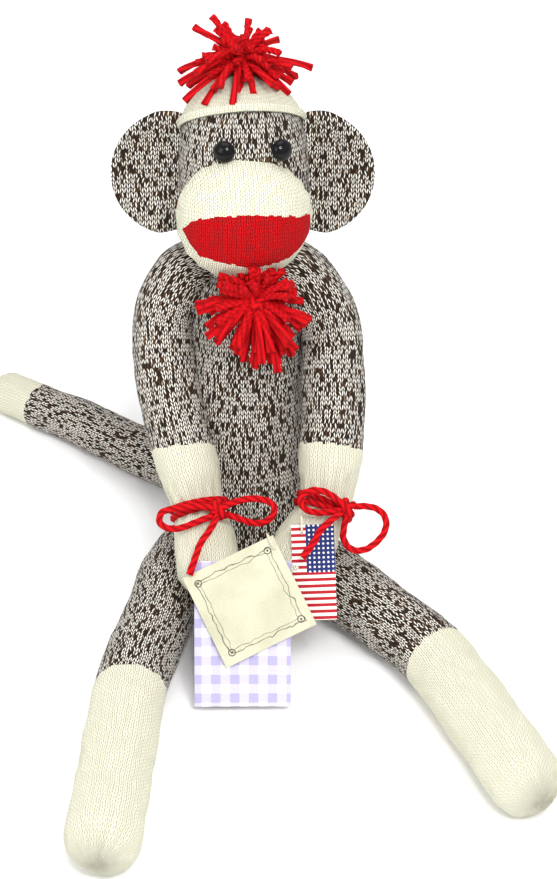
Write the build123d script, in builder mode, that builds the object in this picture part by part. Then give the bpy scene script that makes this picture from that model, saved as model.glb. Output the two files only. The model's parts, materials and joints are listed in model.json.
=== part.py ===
"""Sock monkey: a knitted, stuffed toy that sits on the floor with its hands in its lap.

Millimetres. +Z is up, the monkey faces -Y, and its own left side is +X. The origin is the
centre of the flat seat on the floor. Every knitted cover is a shell round its own stuffing.
"""
import os
from math import cos, pi, radians, sin, sqrt, tan

from build123d import *

os.makedirs("parts", exist_ok=True)

# ---- driving dimensions ----
knit_wall = 1.2             # thickness of the knitted cover
fill_gap = 0.2              # between a cover and the stuffing in it
body_gap = 0.8              # between pieces that move on each other
touch_gap = 0.15            # between pieces that lie against each other and don't move
yarn_dia = 4.5              # red yarn of the wrist ties and bows

lean = 20.0                 # the torso and head lean back this far
belly_radius = 36.0
belly_height = 30.0         # centre of the belly's round end over the floor
chest_radius = 31.0
torso_length = 158.0        # from the belly's centre to the neck, along the lean

head_radius = 37.5
head_length = 106.0         # chin to crown
neck_ball_radius = 14.0
neck_space = 6.0            # between the torso's top and the chin
cap_depth = 25.0            # of the cap, from its brim to the crown
brim_tilt = 29.0            # of the brim, which is higher over the face than behind the head
hem_thick = 2.6             # of the cap's rolled brim, outwards
hem_height = 4.6

muzzle_width = 74.0
muzzle_height = 64.0
muzzle_reach = 30.0         # of the muzzle beyond the face
muzzle_height_over_chin = 33.0
muzzle_sink = 9.0           # of the muzzle's middle, in from the face
face_turn = 8.0             # the face looks a little to the monkey's own left

ear_height = 66.0
ear_reach = 44.0
ear_thick = 8.0
ear_height_over_chin = 45.0  # of the ears' middle
eye_dia = 12.0
eye_spread = 31.0
stem_dia = 4.0
stem_length = 9.0
washer_dia = 14.0
washer_thick = 1.6

arm_radius = 18.0
hand_radius = 16.5
wrist_radius = 11.5
shoulder_spread = 52.0
leg_radius = 20.0
hip_spread = 34.0
tail_root_radius = 17.0
tail_tip_radius = 13.0
tail_length = 168.0

hat_pompom_radius = 17.0
neck_pompom_radius = 20.0
neck_pompom_thick = 24.0
pompom_height = 137.0       # of the neck pompom over the belly's centre
knot_dia = 8.0

square_card_side = 56.0
gingham_card_width = 54.0
gingham_card_height = 82.0
label_width = 24.0
label_height = 54.0
card_thick = 0.6
string_dia = 1.2
string_hole_dia = 4.0

# ---- places that follow from them ----
fill_inset = knit_wall + fill_gap
up_axis = Vector(0, sin(radians(lean)), cos(radians(lean)))
front = Vector(0, -cos(radians(lean)), sin(radians(lean)))
belly_centre = Vector(0, 0, belly_height)
neck_centre = belly_centre + up_axis * (torso_length + neck_space / 2)
chin = belly_centre + up_axis * (torso_length + neck_space)
crown = chin + up_axis * head_length
face = front.rotate(Axis((0, 0, 0), up_axis), face_turn)
side = face.cross(up_axis) * -1                      # the monkey's own left
sides = {"left": 1, "right": -1}


def upright(foot: Vector, along: Vector, across: Vector = Vector(1, 0, 0)) -> Plane:
    """Plane whose Y runs along the piece and whose X runs across it."""
    return Plane(origin=foot, x_dir=across, z_dir=across.cross(along))


round_end = 0.5523          # share of the radius that makes a curve's end a quarter ellipse


def turned(foot: Vector, along: Vector, form: dict, inset: float) -> None:
    """Adds a closed form turned about its long axis, shrunk all round by inset.

    form gives the radius and height of its widest places, low and high, and how far the
    rounded ends reach beyond them.
    """
    across = Vector(1, 0, 0)
    low, high = form["low"], form["high"]
    low_radius, high_radius = form["low_radius"] - inset, form["high_radius"] - inset
    bottom, top = form["bottom"] - inset, form["top"] - inset
    with BuildSketch(upright(foot, along, across)) as half:
        with BuildLine():
            Bezier((0, low - bottom), (round_end * low_radius, low - bottom),
                   (low_radius, low - (1 - round_end) * bottom), (low_radius, low))
            Spline((low_radius, low), (high_radius, high), tangents=((0, 1), (0, 1)))
            Bezier((high_radius, high), (high_radius, high + (1 - round_end) * top),
                   (round_end * high_radius, high + top), (0, high + top))
            Line((0, high + top), (0, low - bottom))
        make_face()
    revolve(half.sketch, axis=Axis(foot, along))


def stuffed_tube(points: list, radius: float, mode: Mode = Mode.ADD) -> None:
    """Adds or cuts a round-ended tube through the points, with a ball at each of them."""
    for start, end in zip(points, points[1:]):
        run = end - start
        with Locations(Plane(origin=start + run * 0.5, z_dir=run)):
            Cylinder(radius, run.length, mode=mode)
    with Locations(*points):
        Sphere(radius, mode=mode)


def leg_room(hip: Vector, knee: Vector, radius: float) -> None:
    """Cuts the room that a leg needs at rest and as it swings down."""
    stuffed_tube([hip, knee], radius, Mode.SUBTRACT)
    with Locations(Plane(origin=hip, x_dir=knee - hip, z_dir=(0, 0, 1))):
        Box((knee - hip).length, 2 * radius, 2 * radius, align=(Align.MIN, Align.CENTER, Align.MAX),
            mode=Mode.SUBTRACT)
        Cylinder(radius, 2 * radius, align=(Align.CENTER, Align.CENTER, Align.MAX), mode=Mode.SUBTRACT)


def above_floor(height: float) -> None:
    """Keeps what lies over this height, which leaves a flat seat."""
    split(bisect_by=Plane.XY.offset(height), keep=Keep.TOP)


def save(piece, name: str) -> None:
    """Labels a finished piece and writes it."""
    piece.part.label = name
    export_step(piece.part, f"parts/{name}.step")


# ---- torso: belly to neck, flat where it sits ----
torso_shape = {"low": 0, "low_radius": belly_radius, "bottom": belly_radius,
               "high": torso_length - 24, "high_radius": chest_radius, "top": 24}
hips = {s: Vector(sides[s] * hip_spread, -20, leg_radius) for s in sides}
shoulders = {
    s: Vector(sides[s] * shoulder_spread, belly_centre.Y, 0) + up_axis * (torso_length - 19)
    + Vector(0, 0, belly_height) for s in sides
}
legs = {
    "left": [hips["left"], Vector(104, -96, leg_radius), Vector(153, -196, leg_radius)],
    "right": [hips["right"], Vector(-61, -118, leg_radius), Vector(-72, -238, leg_radius)],
}
wrists = {"left": Vector(46, -38, 76), "right": Vector(-25, -38, 75)}
fingertips = {"left": Vector(29, -66, 57), "right": Vector(-20, -69, 56)}
tail_root = Vector(-16, 48, tail_root_radius + 0.3)
tail_way = Vector(-0.82, 0.5724, 0).normalized()


def torso_form(inset: float) -> None:
    """Adds the torso, with room for the limbs' roots and for the ball in the neck."""
    turned(belly_centre, up_axis, torso_shape, inset)
    above_floor(inset)
    for s in sides:
        leg_room(legs[s][0], legs[s][1], leg_radius + body_gap + inset)
        stuffed_tube([shoulders[s], wrists[s]], arm_radius + body_gap + inset, Mode.SUBTRACT)
    with Locations(tail_root):
        Sphere(tail_root_radius + body_gap + inset, mode=Mode.SUBTRACT)
    with Locations(neck_centre):
        Sphere(neck_ball_radius + body_gap + inset, mode=Mode.SUBTRACT)


with BuildPart() as torso_stuffing:
    torso_form(fill_inset)
save(torso_stuffing, "torso_stuffing")

with BuildPart() as torso_hollow:
    torso_form(knit_wall)
with BuildPart() as torso_cover:
    torso_form(0)
    add(torso_hollow, mode=Mode.SUBTRACT)
save(torso_cover, "torso_cover")

# ---- neck: a ball of stuffing with the gathering thread round it ----
thread_radius = 1.0
with BuildPart() as neck_ball:
    with Locations(neck_centre):
        Sphere(neck_ball_radius)
    with Locations(Plane(origin=neck_centre, z_dir=up_axis)):
        Torus(neck_ball_radius, thread_radius + touch_gap, mode=Mode.SUBTRACT)
save(neck_ball, "neck_ball")

with BuildPart() as neck_thread:
    with Locations(Plane(origin=neck_centre, z_dir=up_axis)):
        Torus(neck_ball_radius, thread_radius)
save(neck_thread, "neck_thread")

# ---- head ----
head_shape = {"low": head_length * 0.42, "low_radius": head_radius, "bottom": head_length * 0.42,
              "high": head_length * 0.56, "high_radius": head_radius, "top": head_length * 0.44}
eye_height = 68.0           # of the eyes over the chin
eyes = {
    s: chin + up_axis * eye_height + face * sqrt((head_radius * 0.965) ** 2 - (eye_spread / 2) ** 2)
    + side * (sides[s] * eye_spread / 2) for s in sides
}
eye_ways = {s: (eyes[s] - chin - up_axis * (eye_height - 7)).normalized() for s in sides}
muzzle_centre = chin + up_axis * muzzle_height_over_chin + face * (head_radius - muzzle_sink)


def head_form(inset: float) -> None:
    """Adds the head, with room for the ball in the neck."""
    turned(chin, up_axis, head_shape, inset)
    with Locations(neck_centre):
        Sphere(neck_ball_radius + body_gap + inset, mode=Mode.SUBTRACT)


with BuildPart() as head_hollow:
    head_form(knit_wall)
with BuildPart() as head_cover:
    head_form(0)
    add(head_hollow, mode=Mode.SUBTRACT)
    for s in sides:
        with Locations(Plane(origin=eyes[s], z_dir=eye_ways[s])):
            Cylinder(stem_dia / 2 + touch_gap, 2 * stem_length, mode=Mode.SUBTRACT)
save(head_cover, "head_cover")

with BuildPart() as head_stuffing:
    head_form(fill_inset)
    for s in sides:
        with Locations(Plane(origin=eyes[s], z_dir=eye_ways[s] * -1)):
            Cylinder(washer_dia / 2 + 1, stem_length + 4, align=(Align.CENTER, Align.CENTER, Align.MIN),
                     mode=Mode.SUBTRACT)
save(head_stuffing, "head_stuffing")

# ---- muzzle: a knitted dome sewn to the face ----
def muzzle_form(inset: float) -> None:
    """Adds the muzzle's dome, hollowed where it lies against the face."""
    dome = scale(Sphere(1, mode=Mode.PRIVATE),
                 (muzzle_width / 2 - inset, muzzle_height / 2 - inset, muzzle_reach + muzzle_sink - inset),
                 mode=Mode.PRIVATE)
    add(Plane(origin=muzzle_centre, x_dir=side, z_dir=face).location * dome)


with BuildPart() as head_envelope:
    turned(chin, up_axis, head_shape, -touch_gap)
with BuildPart() as muzzle_hollow:
    muzzle_form(knit_wall)
with BuildPart() as muzzle_cover:
    muzzle_form(0)
    add(muzzle_hollow, mode=Mode.SUBTRACT)
    add(head_envelope, mode=Mode.SUBTRACT)
save(muzzle_cover, "muzzle_cover")

with BuildPart() as muzzle_stuffing:
    muzzle_form(fill_inset)
    add(head_envelope, mode=Mode.SUBTRACT)
save(muzzle_stuffing, "muzzle_stuffing")

# ---- eyes: each a glossy dome on a stem, held by a washer inside the head ----
for s in sides:
    socket = Plane(origin=eyes[s] + eye_ways[s] * (touch_gap + 1.2), z_dir=eye_ways[s])
    inside = Align.CENTER, Align.CENTER, Align.MAX
    with BuildPart() as eye:
        with Locations(socket):
            Sphere(eye_dia / 2)
            Box(2 * eye_dia, 2 * eye_dia, eye_dia, align=inside, mode=Mode.SUBTRACT)
            Cylinder(stem_dia / 2, stem_length, align=inside)
    save(eye, f"{s}_eye")
    with BuildPart() as washer:
        with Locations(socket.offset(-stem_length + 2.5)):
            Cylinder(washer_dia / 2, washer_thick, align=inside)
            Cylinder(stem_dia / 2, washer_thick, align=inside, mode=Mode.SUBTRACT)
    save(washer, f"{s}_eye_washer")

# ---- cap: the sock's toe, drawn down over the crown to a rolled brim ----
brim_height = head_length - cap_depth
brim_way = up_axis * cos(radians(brim_tilt)) - front * sin(radians(brim_tilt))
brim = Plane(origin=chin + up_axis * brim_height, z_dir=brim_way)
with BuildPart() as hem:
    turned(chin, up_axis, head_shape, -touch_gap - hem_thick)
    split(bisect_by=brim, keep=Keep.TOP)
    split(bisect_by=brim.offset(hem_height), keep=Keep.BOTTOM)
    add(head_envelope, mode=Mode.SUBTRACT)
with BuildPart() as cap:
    turned(chin, up_axis, head_shape, -touch_gap - knit_wall)
    split(bisect_by=brim, keep=Keep.TOP)
    add(head_envelope, mode=Mode.SUBTRACT)
    add(hem)
save(cap, "cap")

# ---- pompoms: yarn balls, each round the knot that binds its strands ----
hat_pompom_centre = crown + up_axis * (hat_pompom_radius + knit_wall + 2 * touch_gap)
with BuildPart() as hat_pompom:
    with Locations(hat_pompom_centre):
        Sphere(hat_pompom_radius)
        Sphere(knot_dia / 2, mode=Mode.SUBTRACT)
save(hat_pompom, "hat_pompom")
with BuildPart() as hat_pompom_knot:
    with Locations(hat_pompom_centre):
        Sphere(knot_dia / 2)
save(hat_pompom_knot, "hat_pompom_knot")

neck_pompom_centre = (belly_centre + up_axis * pompom_height + front * (chest_radius + neck_pompom_thick / 2 + 3.5)
                      + Vector(8, 0, 0))
pompom_plane = Plane(origin=neck_pompom_centre, x_dir=(1, 0, 0), z_dir=front)
knot_place = neck_pompom_centre + front * (neck_pompom_thick / 2 - knot_dia / 4)
with BuildPart() as neck_pompom:
    disc = scale(Sphere(1, mode=Mode.PRIVATE),
                 (neck_pompom_radius, neck_pompom_radius, neck_pompom_thick / 2), mode=Mode.PRIVATE)
    add(pompom_plane.location * disc)
    with Locations(knot_place):
        Sphere(knot_dia / 2, mode=Mode.SUBTRACT)
save(neck_pompom, "neck_pompom")
with BuildPart() as neck_pompom_knot:
    with Locations(knot_place):
        Sphere(knot_dia / 2)
save(neck_pompom_knot, "neck_pompom_knot")

# ---- ears: flat, stuffed, and rounded where they fold on the head ----
ear_root = {
    s: chin + up_axis * ear_height_over_chin + Vector(sides[s] * (head_radius + body_gap + ear_thick / 2), 0, 0)
    for s in sides
}


def ear_form(s: str, inset: float) -> None:
    """Adds one ear: half an oval that leans on its straight, rounded root."""
    plane = Plane(origin=ear_root[s], x_dir=(sides[s], 0, 0), z_dir=front * sides[s])
    half_thick = ear_thick / 2 - inset
    with BuildSketch(plane) as outline:
        Ellipse(ear_reach - inset, ear_height / 2 - inset)
        with Locations((-ear_reach, 0)):
            Rectangle(2 * ear_reach, 2 * ear_height, mode=Mode.SUBTRACT)
    extrude(outline.sketch, amount=half_thick, both=True)
    fillet(edges().filter_by(GeomType.ELLIPSE), half_thick * 0.9)
    with Locations(Plane(origin=ear_root[s], z_dir=up_axis)):
        Cylinder(half_thick, ear_height - 6 * ear_thick / 4)


for s in sides:
    with BuildPart() as ear_hollow:
        ear_form(s, knit_wall)
    with BuildPart() as ear_cover:
        ear_form(s, 0)
        add(ear_hollow, mode=Mode.SUBTRACT)
    save(ear_cover, f"{s}_ear_cover")
    with BuildPart() as ear_stuffing:
        ear_form(s, fill_inset)
    save(ear_stuffing, f"{s}_ear_stuffing")

# ---- arms: a sleeve and a hand, drawn in at the wrist by a ring of yarn ----
def along_arm(s: str) -> tuple:
    """Directions of the sleeve and of the hand, both away from the shoulder."""
    return (wrists[s] - shoulders[s]).normalized(), (fingertips[s] - wrists[s]).normalized()


sleeve_back = sqrt(arm_radius ** 2 - wrist_radius ** 2)
hand_back = sqrt(hand_radius ** 2 - wrist_radius ** 2)
ring_radius = max(
    sqrt((arm_radius + yarn_dia / 2 + touch_gap) ** 2 - sleeve_back ** 2),
    sqrt((hand_radius + yarn_dia / 2 + touch_gap) ** 2 - hand_back ** 2),
) + 3.2


def arm_form(s: str, inset: float) -> None:
    """Adds one arm, from the shoulder's ball to the hand's tip."""
    sleeve_way, hand_way = along_arm(s)
    stuffed_tube([shoulders[s], wrists[s] - sleeve_way * sleeve_back], arm_radius - inset)
    stuffed_tube([wrists[s] + hand_way * hand_back, fingertips[s]], hand_radius - inset)


for s in sides:
    with BuildPart() as arm_hollow:
        arm_form(s, knit_wall)
    with BuildPart() as arm_cover:
        arm_form(s, 0)
        add(arm_hollow, mode=Mode.SUBTRACT)
    save(arm_cover, f"{s}_arm_cover")
    with BuildPart() as arm_stuffing:
        arm_form(s, fill_inset)
    save(arm_stuffing, f"{s}_arm_stuffing")
    sleeve_way, hand_way = along_arm(s)
    with BuildPart() as wrist_tie:
        with Locations(Plane(origin=wrists[s], z_dir=sleeve_way + hand_way)):
            Torus(ring_radius, yarn_dia / 2)
    save(wrist_tie, f"{s}_wrist_tie")

# ---- legs ----
for s in sides:
    with BuildPart() as leg_hollow:
        stuffed_tube(legs[s], leg_radius - knit_wall)
    with BuildPart() as leg_cover:
        stuffed_tube(legs[s], leg_radius)
        add(leg_hollow, mode=Mode.SUBTRACT)
    save(leg_cover, f"{s}_leg_cover")
    with BuildPart() as leg_stuffing:
        stuffed_tube(legs[s], leg_radius - fill_inset)
    save(leg_stuffing, f"{s}_leg_stuffing")

# ---- tail ----
def tail_form(inset: float) -> None:
    """Adds the tail, tapering from its root to its tip along the floor."""
    tip = tail_root + tail_way * tail_length - Vector(0, 0, tail_root_radius - tail_tip_radius)
    run = tip - tail_root
    with Locations(Plane(origin=tail_root + run * 0.5, z_dir=run)):
        Cone(tail_root_radius - inset, tail_tip_radius - inset, run.length)
    with Locations(tail_root):
        Sphere(tail_root_radius - inset)
    with Locations(tip):
        Sphere(tail_tip_radius - inset)


with BuildPart() as tail_hollow:
    tail_form(knit_wall)
with BuildPart() as tail_cover:
    tail_form(0)
    add(tail_hollow, mode=Mode.SUBTRACT)
save(tail_cover, "tail_cover")
with BuildPart() as tail_stuffing:
    tail_form(fill_inset)
save(tail_stuffing, "tail_stuffing")

# ---- bows: a knot on each wrist's ring, two loops and a tail, all of the same yarn ----
bow_knot_radius = 6.0
knot_ways = {"left": Vector(0.52, -0.65, 0.55), "right": Vector(0.5, -0.66, 0.56)}
knots = {s: wrists[s] + knot_ways[s] * (ring_radius + 5.6) for s in sides}
bow_front = Vector(0, -0.766, 0.643)                 # the way the bows face
bow_routes = {
    "right_bow_loop_a": [(-3, 1, 3), (-12, 2.5, 6), (-24, 1, 6), (-33.5, -1, 4), (-34, -9, 3), (-24, -11.5, 5),
                         (-12, -6.5, 6), (-4, -3.5, 3)],
    "right_bow_loop_b": [(3, 2, 1), (12, 6, 3), (23, 6.5, 4), (31.5, 3, 4), (30, -5, 3), (21, -8.5, 2),
                         (11, -5, 1), (3.5, -2.5, 0)],
    "right_bow_tail": [(-1, -3, 4), (-4, -10, 8), (-10.5, -18, 11), (-13, -26, 13), (-16.5, -36, 14)],
    "left_bow_loop_a": [(-3, 3, 3), (-9, 8.5, 6), (-18, 11, 7), (-26, 8, 7), (-25.5, 0.5, 7), (-18, -2.5, 7),
                        (-9, -2, 6), (-3, -1, 3)],
    "left_bow_loop_b": [(4, 1, 1), (14, 2, 2), (22.5, -4, 3), (22, -14, 3), (12, -23.5, 2), (2.5, -24, 1),
                        (-2.5, -17, 1), (-1, -8.5, 1), (0, -3, 1)],
    "left_bow_tail": [(-3, -2, 4), (-9, -6.5, 11), (-15.5, -12, 14), (-19, -20, 14), (-25, -27, 13.5)],
}


def corner_radii(points: list) -> list:
    """Largest arcs that the runs beside each corner leave room for."""
    radii = []
    for before, here, after in zip(points, points[1:], points[2:]):
        turn = radians((here - before).get_angle(after - here))
        radii.append(0.45 * min((here - before).length, (after - here).length) / tan(turn / 2))
    return radii


for s in sides:
    with BuildPart() as bow_knot:
        with Locations(knots[s]):
            Sphere(bow_knot_radius)
    save(bow_knot, f"{s}_bow_knot")

for name, route in bow_routes.items():
    bow_plane = Plane(origin=knots[name.split("_")[0]], x_dir=(1, 0, 0), z_dir=bow_front)
    points = [bow_plane.from_local_coords(Vector(*p)) for p in route]
    radii = corner_radii(points)
    with BuildLine() as path:
        FilletPolyline(*points, radius=radii)
    with BuildPart() as yarn:
        with BuildSketch(Plane(origin=points[0], z_dir=points[1] - points[0])):
            Circle(yarn_dia / 2)
        sweep(path=path.line)
    length = path.wire().length
    print(name, "length", round(length, 1), "radii", [round(r, 1) for r in radii],
          "volume ratio", round(yarn.part.volume / (length * pi * yarn_dia ** 2 / 4), 3))
    print("   ", [tuple(round(c, 1) for c in p) for p in points])
    save(yarn, name)

# ---- hang tags: cards and a woven label, each on a loop of thread ----
card_lean = 35.0                                     # the cards lean back this far
card_up = Vector(0, sin(radians(card_lean)), cos(radians(card_lean)))
card_front = Vector(0, -cos(radians(card_lean)), sin(radians(card_lean)))
card_base = fingertips["right"] + card_front * (hand_radius + 2.0)
floor_run = card_base.Z / card_up.Z - 1.0
loop_radius = 5.0
thread_reach = 11.0         # of the gingham card's thread, up towards the wrist
card_step = 2.2                                      # from the gingham card to the square one
cards = {                                            # width, height, middle, turn in its plane, step
    "gingham_card": (gingham_card_width, gingham_card_height,
                     card_base + card_up * (gingham_card_height / 2 - floor_run) + Vector(20.5, 0, 0), 0.0, 0.0),
    "square_card": (square_card_side, square_card_side,
                    card_base + card_up * -16 + Vector(28.5, 0, 0), 26.0, card_step),
    "striped_label": (label_width, label_height,
                      card_base + card_up * 1 + Vector(60, 0, 0), 2.0, -3.6),
}
loop_side = {"square_card": 1, "striped_label": -1}
for name, (width, height, middle, turn, step) in cards.items():
    across = Vector(1, 0, 0) * cos(radians(turn)) + card_up * sin(radians(turn))
    plane = Plane(origin=middle + card_front * step, x_dir=across, z_dir=card_front)
    edge = (loop_side.get(name, 0) * (width / 2 - loop_radius - 1), height / 2)
    with BuildPart() as card:
        with BuildSketch(plane):
            Rectangle(width, height)
            if name in loop_side:
                with Locations((edge[0], edge[1] - loop_radius)):
                    Circle(string_hole_dia / 2, mode=Mode.SUBTRACT)
        extrude(amount=card_thick)
    save(card, name)
    edge_middle = plane.from_local_coords(Vector(*edge, card_thick / 2))
    with BuildPart() as thread:
        if name in loop_side:
            with Locations(Plane(origin=edge_middle, z_dir=plane.x_dir)):
                Torus(loop_radius, string_dia / 2)
        else:
            with Locations(Plane(origin=edge_middle + card_up * touch_gap, z_dir=card_up)):
                Cylinder(string_dia / 2, thread_reach, align=(Align.CENTER, Align.CENTER, Align.MIN))
    save(thread, f"{name}_thread")
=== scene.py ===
"""Sock monkey: the knitted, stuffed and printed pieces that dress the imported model.

Lengths are in metres unless a name ends in _mm. +Z is up and the monkey faces -Y.
"""
import json
import logging
import math
from dataclasses import dataclass, field
from enum import Enum
from typing import Callable, Optional, Union

import bpy
from mathutils import Matrix, Vector, noise


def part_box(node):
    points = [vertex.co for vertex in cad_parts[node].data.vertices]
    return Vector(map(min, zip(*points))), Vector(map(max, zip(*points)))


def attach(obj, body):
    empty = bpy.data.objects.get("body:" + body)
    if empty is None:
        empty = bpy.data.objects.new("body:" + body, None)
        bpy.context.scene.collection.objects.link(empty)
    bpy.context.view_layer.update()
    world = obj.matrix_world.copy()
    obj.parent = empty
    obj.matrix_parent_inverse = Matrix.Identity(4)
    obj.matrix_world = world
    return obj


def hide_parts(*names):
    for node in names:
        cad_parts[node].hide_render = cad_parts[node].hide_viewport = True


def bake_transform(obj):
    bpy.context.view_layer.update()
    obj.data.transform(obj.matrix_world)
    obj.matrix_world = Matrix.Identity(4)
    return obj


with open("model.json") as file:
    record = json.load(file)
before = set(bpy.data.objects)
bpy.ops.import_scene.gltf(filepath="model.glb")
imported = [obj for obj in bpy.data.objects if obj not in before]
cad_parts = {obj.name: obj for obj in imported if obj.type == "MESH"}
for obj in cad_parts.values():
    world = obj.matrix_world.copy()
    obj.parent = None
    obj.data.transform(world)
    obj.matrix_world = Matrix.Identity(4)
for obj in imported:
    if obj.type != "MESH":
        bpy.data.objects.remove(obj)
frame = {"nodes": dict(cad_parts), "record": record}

logging.basicConfig(level=logging.INFO, format="%(levelname)s %(message)s")
LOG = logging.getLogger("sock_monkey")
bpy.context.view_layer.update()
MM = 0.001
JOINTS = {j["name"]: j for j in frame["record"]["behaviour"]["joints"]}
UP = Vector(JOINTS["head_turn"]["axis"]).normalized()
FRONT = Vector((0, -UP.z, UP.y))
ACROSS = Vector((1, 0, 0))
BOW_UP = Vector((0, 0.643, 0.766))       # the bows lie on a slope: up it, and out from it
BOW_OUT = Vector((0, -0.766, 0.643))
INSIDE_MM, OUTSIDE_MM = 50.0, -50.0      # far inside, and far outside, a colour's edge
Input = Union[float, bpy.types.NodeSocket]
Colour = Union[str, bpy.types.NodeSocket]


def pivot(joint: str) -> Vector:
    """Place of a joint in the frame."""
    return Vector(JOINTS[joint]["pos_m"])


def middle(node: str) -> Vector:
    """Centre of a CAD node's box."""
    low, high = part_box(node)
    return (Vector(low) + Vector(high)) / 2


def linear(hex_colour: str) -> tuple[float, float, float, float]:
    """Turns an sRGB hex colour into linear RGBA."""
    parts = [int(hex_colour[i:i + 2], 16) / 255 for i in (1, 3, 5)]
    return (*(c / 12.92 if c <= 0.04045 else ((c + 0.055) / 1.055) ** 2.4 for c in parts), 1.0)


# ---- materials -------------------------------------------------------------

def add(tree: bpy.types.NodeTree, kind: str, settings: Optional[dict] = None,
        inputs: Optional[dict] = None) -> bpy.types.Node:
    """Adds one node.

    Args:
        tree: the material's node tree.
        kind: the node's type, without its ShaderNode prefix.
        settings: properties to set on the node.
        inputs: input name or number to a value, or to a socket to link.

    Returns:
        The new node.
    """
    node = tree.nodes.new("ShaderNode" + kind)
    for name, value in (settings or {}).items():
        setattr(node, name, value)
    for name, value in (inputs or {}).items():
        if isinstance(value, bpy.types.NodeSocket):
            tree.links.new(value, node.inputs[name])
        else:
            node.inputs[name].default_value = value
    return node


def maths(tree: bpy.types.NodeTree, operation: str, *values: Input) -> bpy.types.NodeSocket:
    """Output of a Math node with these values or sockets."""
    return add(tree, "Math", {"operation": operation}, dict(enumerate(values))).outputs[0]


def ramp(tree: bpy.types.NodeTree, factor: bpy.types.NodeSocket, stops: list[tuple[float, str]],
         interpolation: str = "LINEAR") -> bpy.types.NodeSocket:
    """Colour output of a ramp with (position, hex colour) stops.

    Args:
        tree: the material's node tree.
        factor: what the ramp reads.
        stops: positions and hex colours, in order.
        interpolation: how the ramp runs between its stops.

    Returns:
        The ramp's colour output.
    """
    node = add(tree, "ValToRGB", inputs={"Fac": factor})
    elements = node.color_ramp.elements
    node.color_ramp.interpolation = interpolation
    while len(elements) < len(stops):
        elements.new(0.5)
    for element, (position, colour) in zip(elements, stops):
        element.position = position
        element.color = linear(colour)
    return node.outputs["Color"]


def blend_colours(tree: bpy.types.NodeTree, factor: Input, first: Colour, second: Colour,
                  how: str = "MIX") -> bpy.types.NodeSocket:
    """Output of a colour mix of two colours, hex or socket.

    Args:
        tree: the material's node tree.
        factor: share of the second colour.
        first: colour at a factor of 0, hex or socket.
        second: colour at a factor of 1, hex or socket.
        how: the mix's blend type.

    Returns:
        The mixed colour.
    """
    first, second = (linear(c) if isinstance(c, str) else c for c in (first, second))
    return add(tree, "Mix", {"data_type": "RGBA", "blend_type": how},
               {0: factor, 6: first, 7: second}).outputs[2]


@dataclass(frozen=True)
class Finish:
    """What every finish shares: its name, slot and the surface's own numbers."""

    name: str
    slot: str
    roughness: float = 0.9
    sheen: float = 0.0
    coat: float = 0.0
    specular: float = 0.15

    def start(self) -> tuple[bpy.types.Material, bpy.types.NodeTree, bpy.types.Node]:
        """Makes the material with its shader and returns it, its tree and the shader.

        Returns:
            The material, its node tree and its shader.
        """
        material = bpy.data.materials.new(self.name)
        material.use_nodes = True
        tree = material.node_tree
        tree.nodes.clear()
        shader = add(tree, "BsdfPrincipled", inputs={
            "Roughness": self.roughness, "Sheen Weight": self.sheen, "Sheen Roughness": 0.5,
            "Specular IOR Level": self.specular,
            "Coat Weight": self.coat, "Coat Roughness": 0.06})
        add(tree, "OutputMaterial", inputs={"Surface": shader.outputs[0]})
        return material, tree, shader

    def dress(self, piece: bpy.types.Object, material: bpy.types.Material) -> None:
        """Gives a new piece this finish's material.

        Args:
            piece: the piece to work on.
            material: the piece's material.
        """
        piece.data.materials.clear()
        piece.data.materials.append(material)


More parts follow.
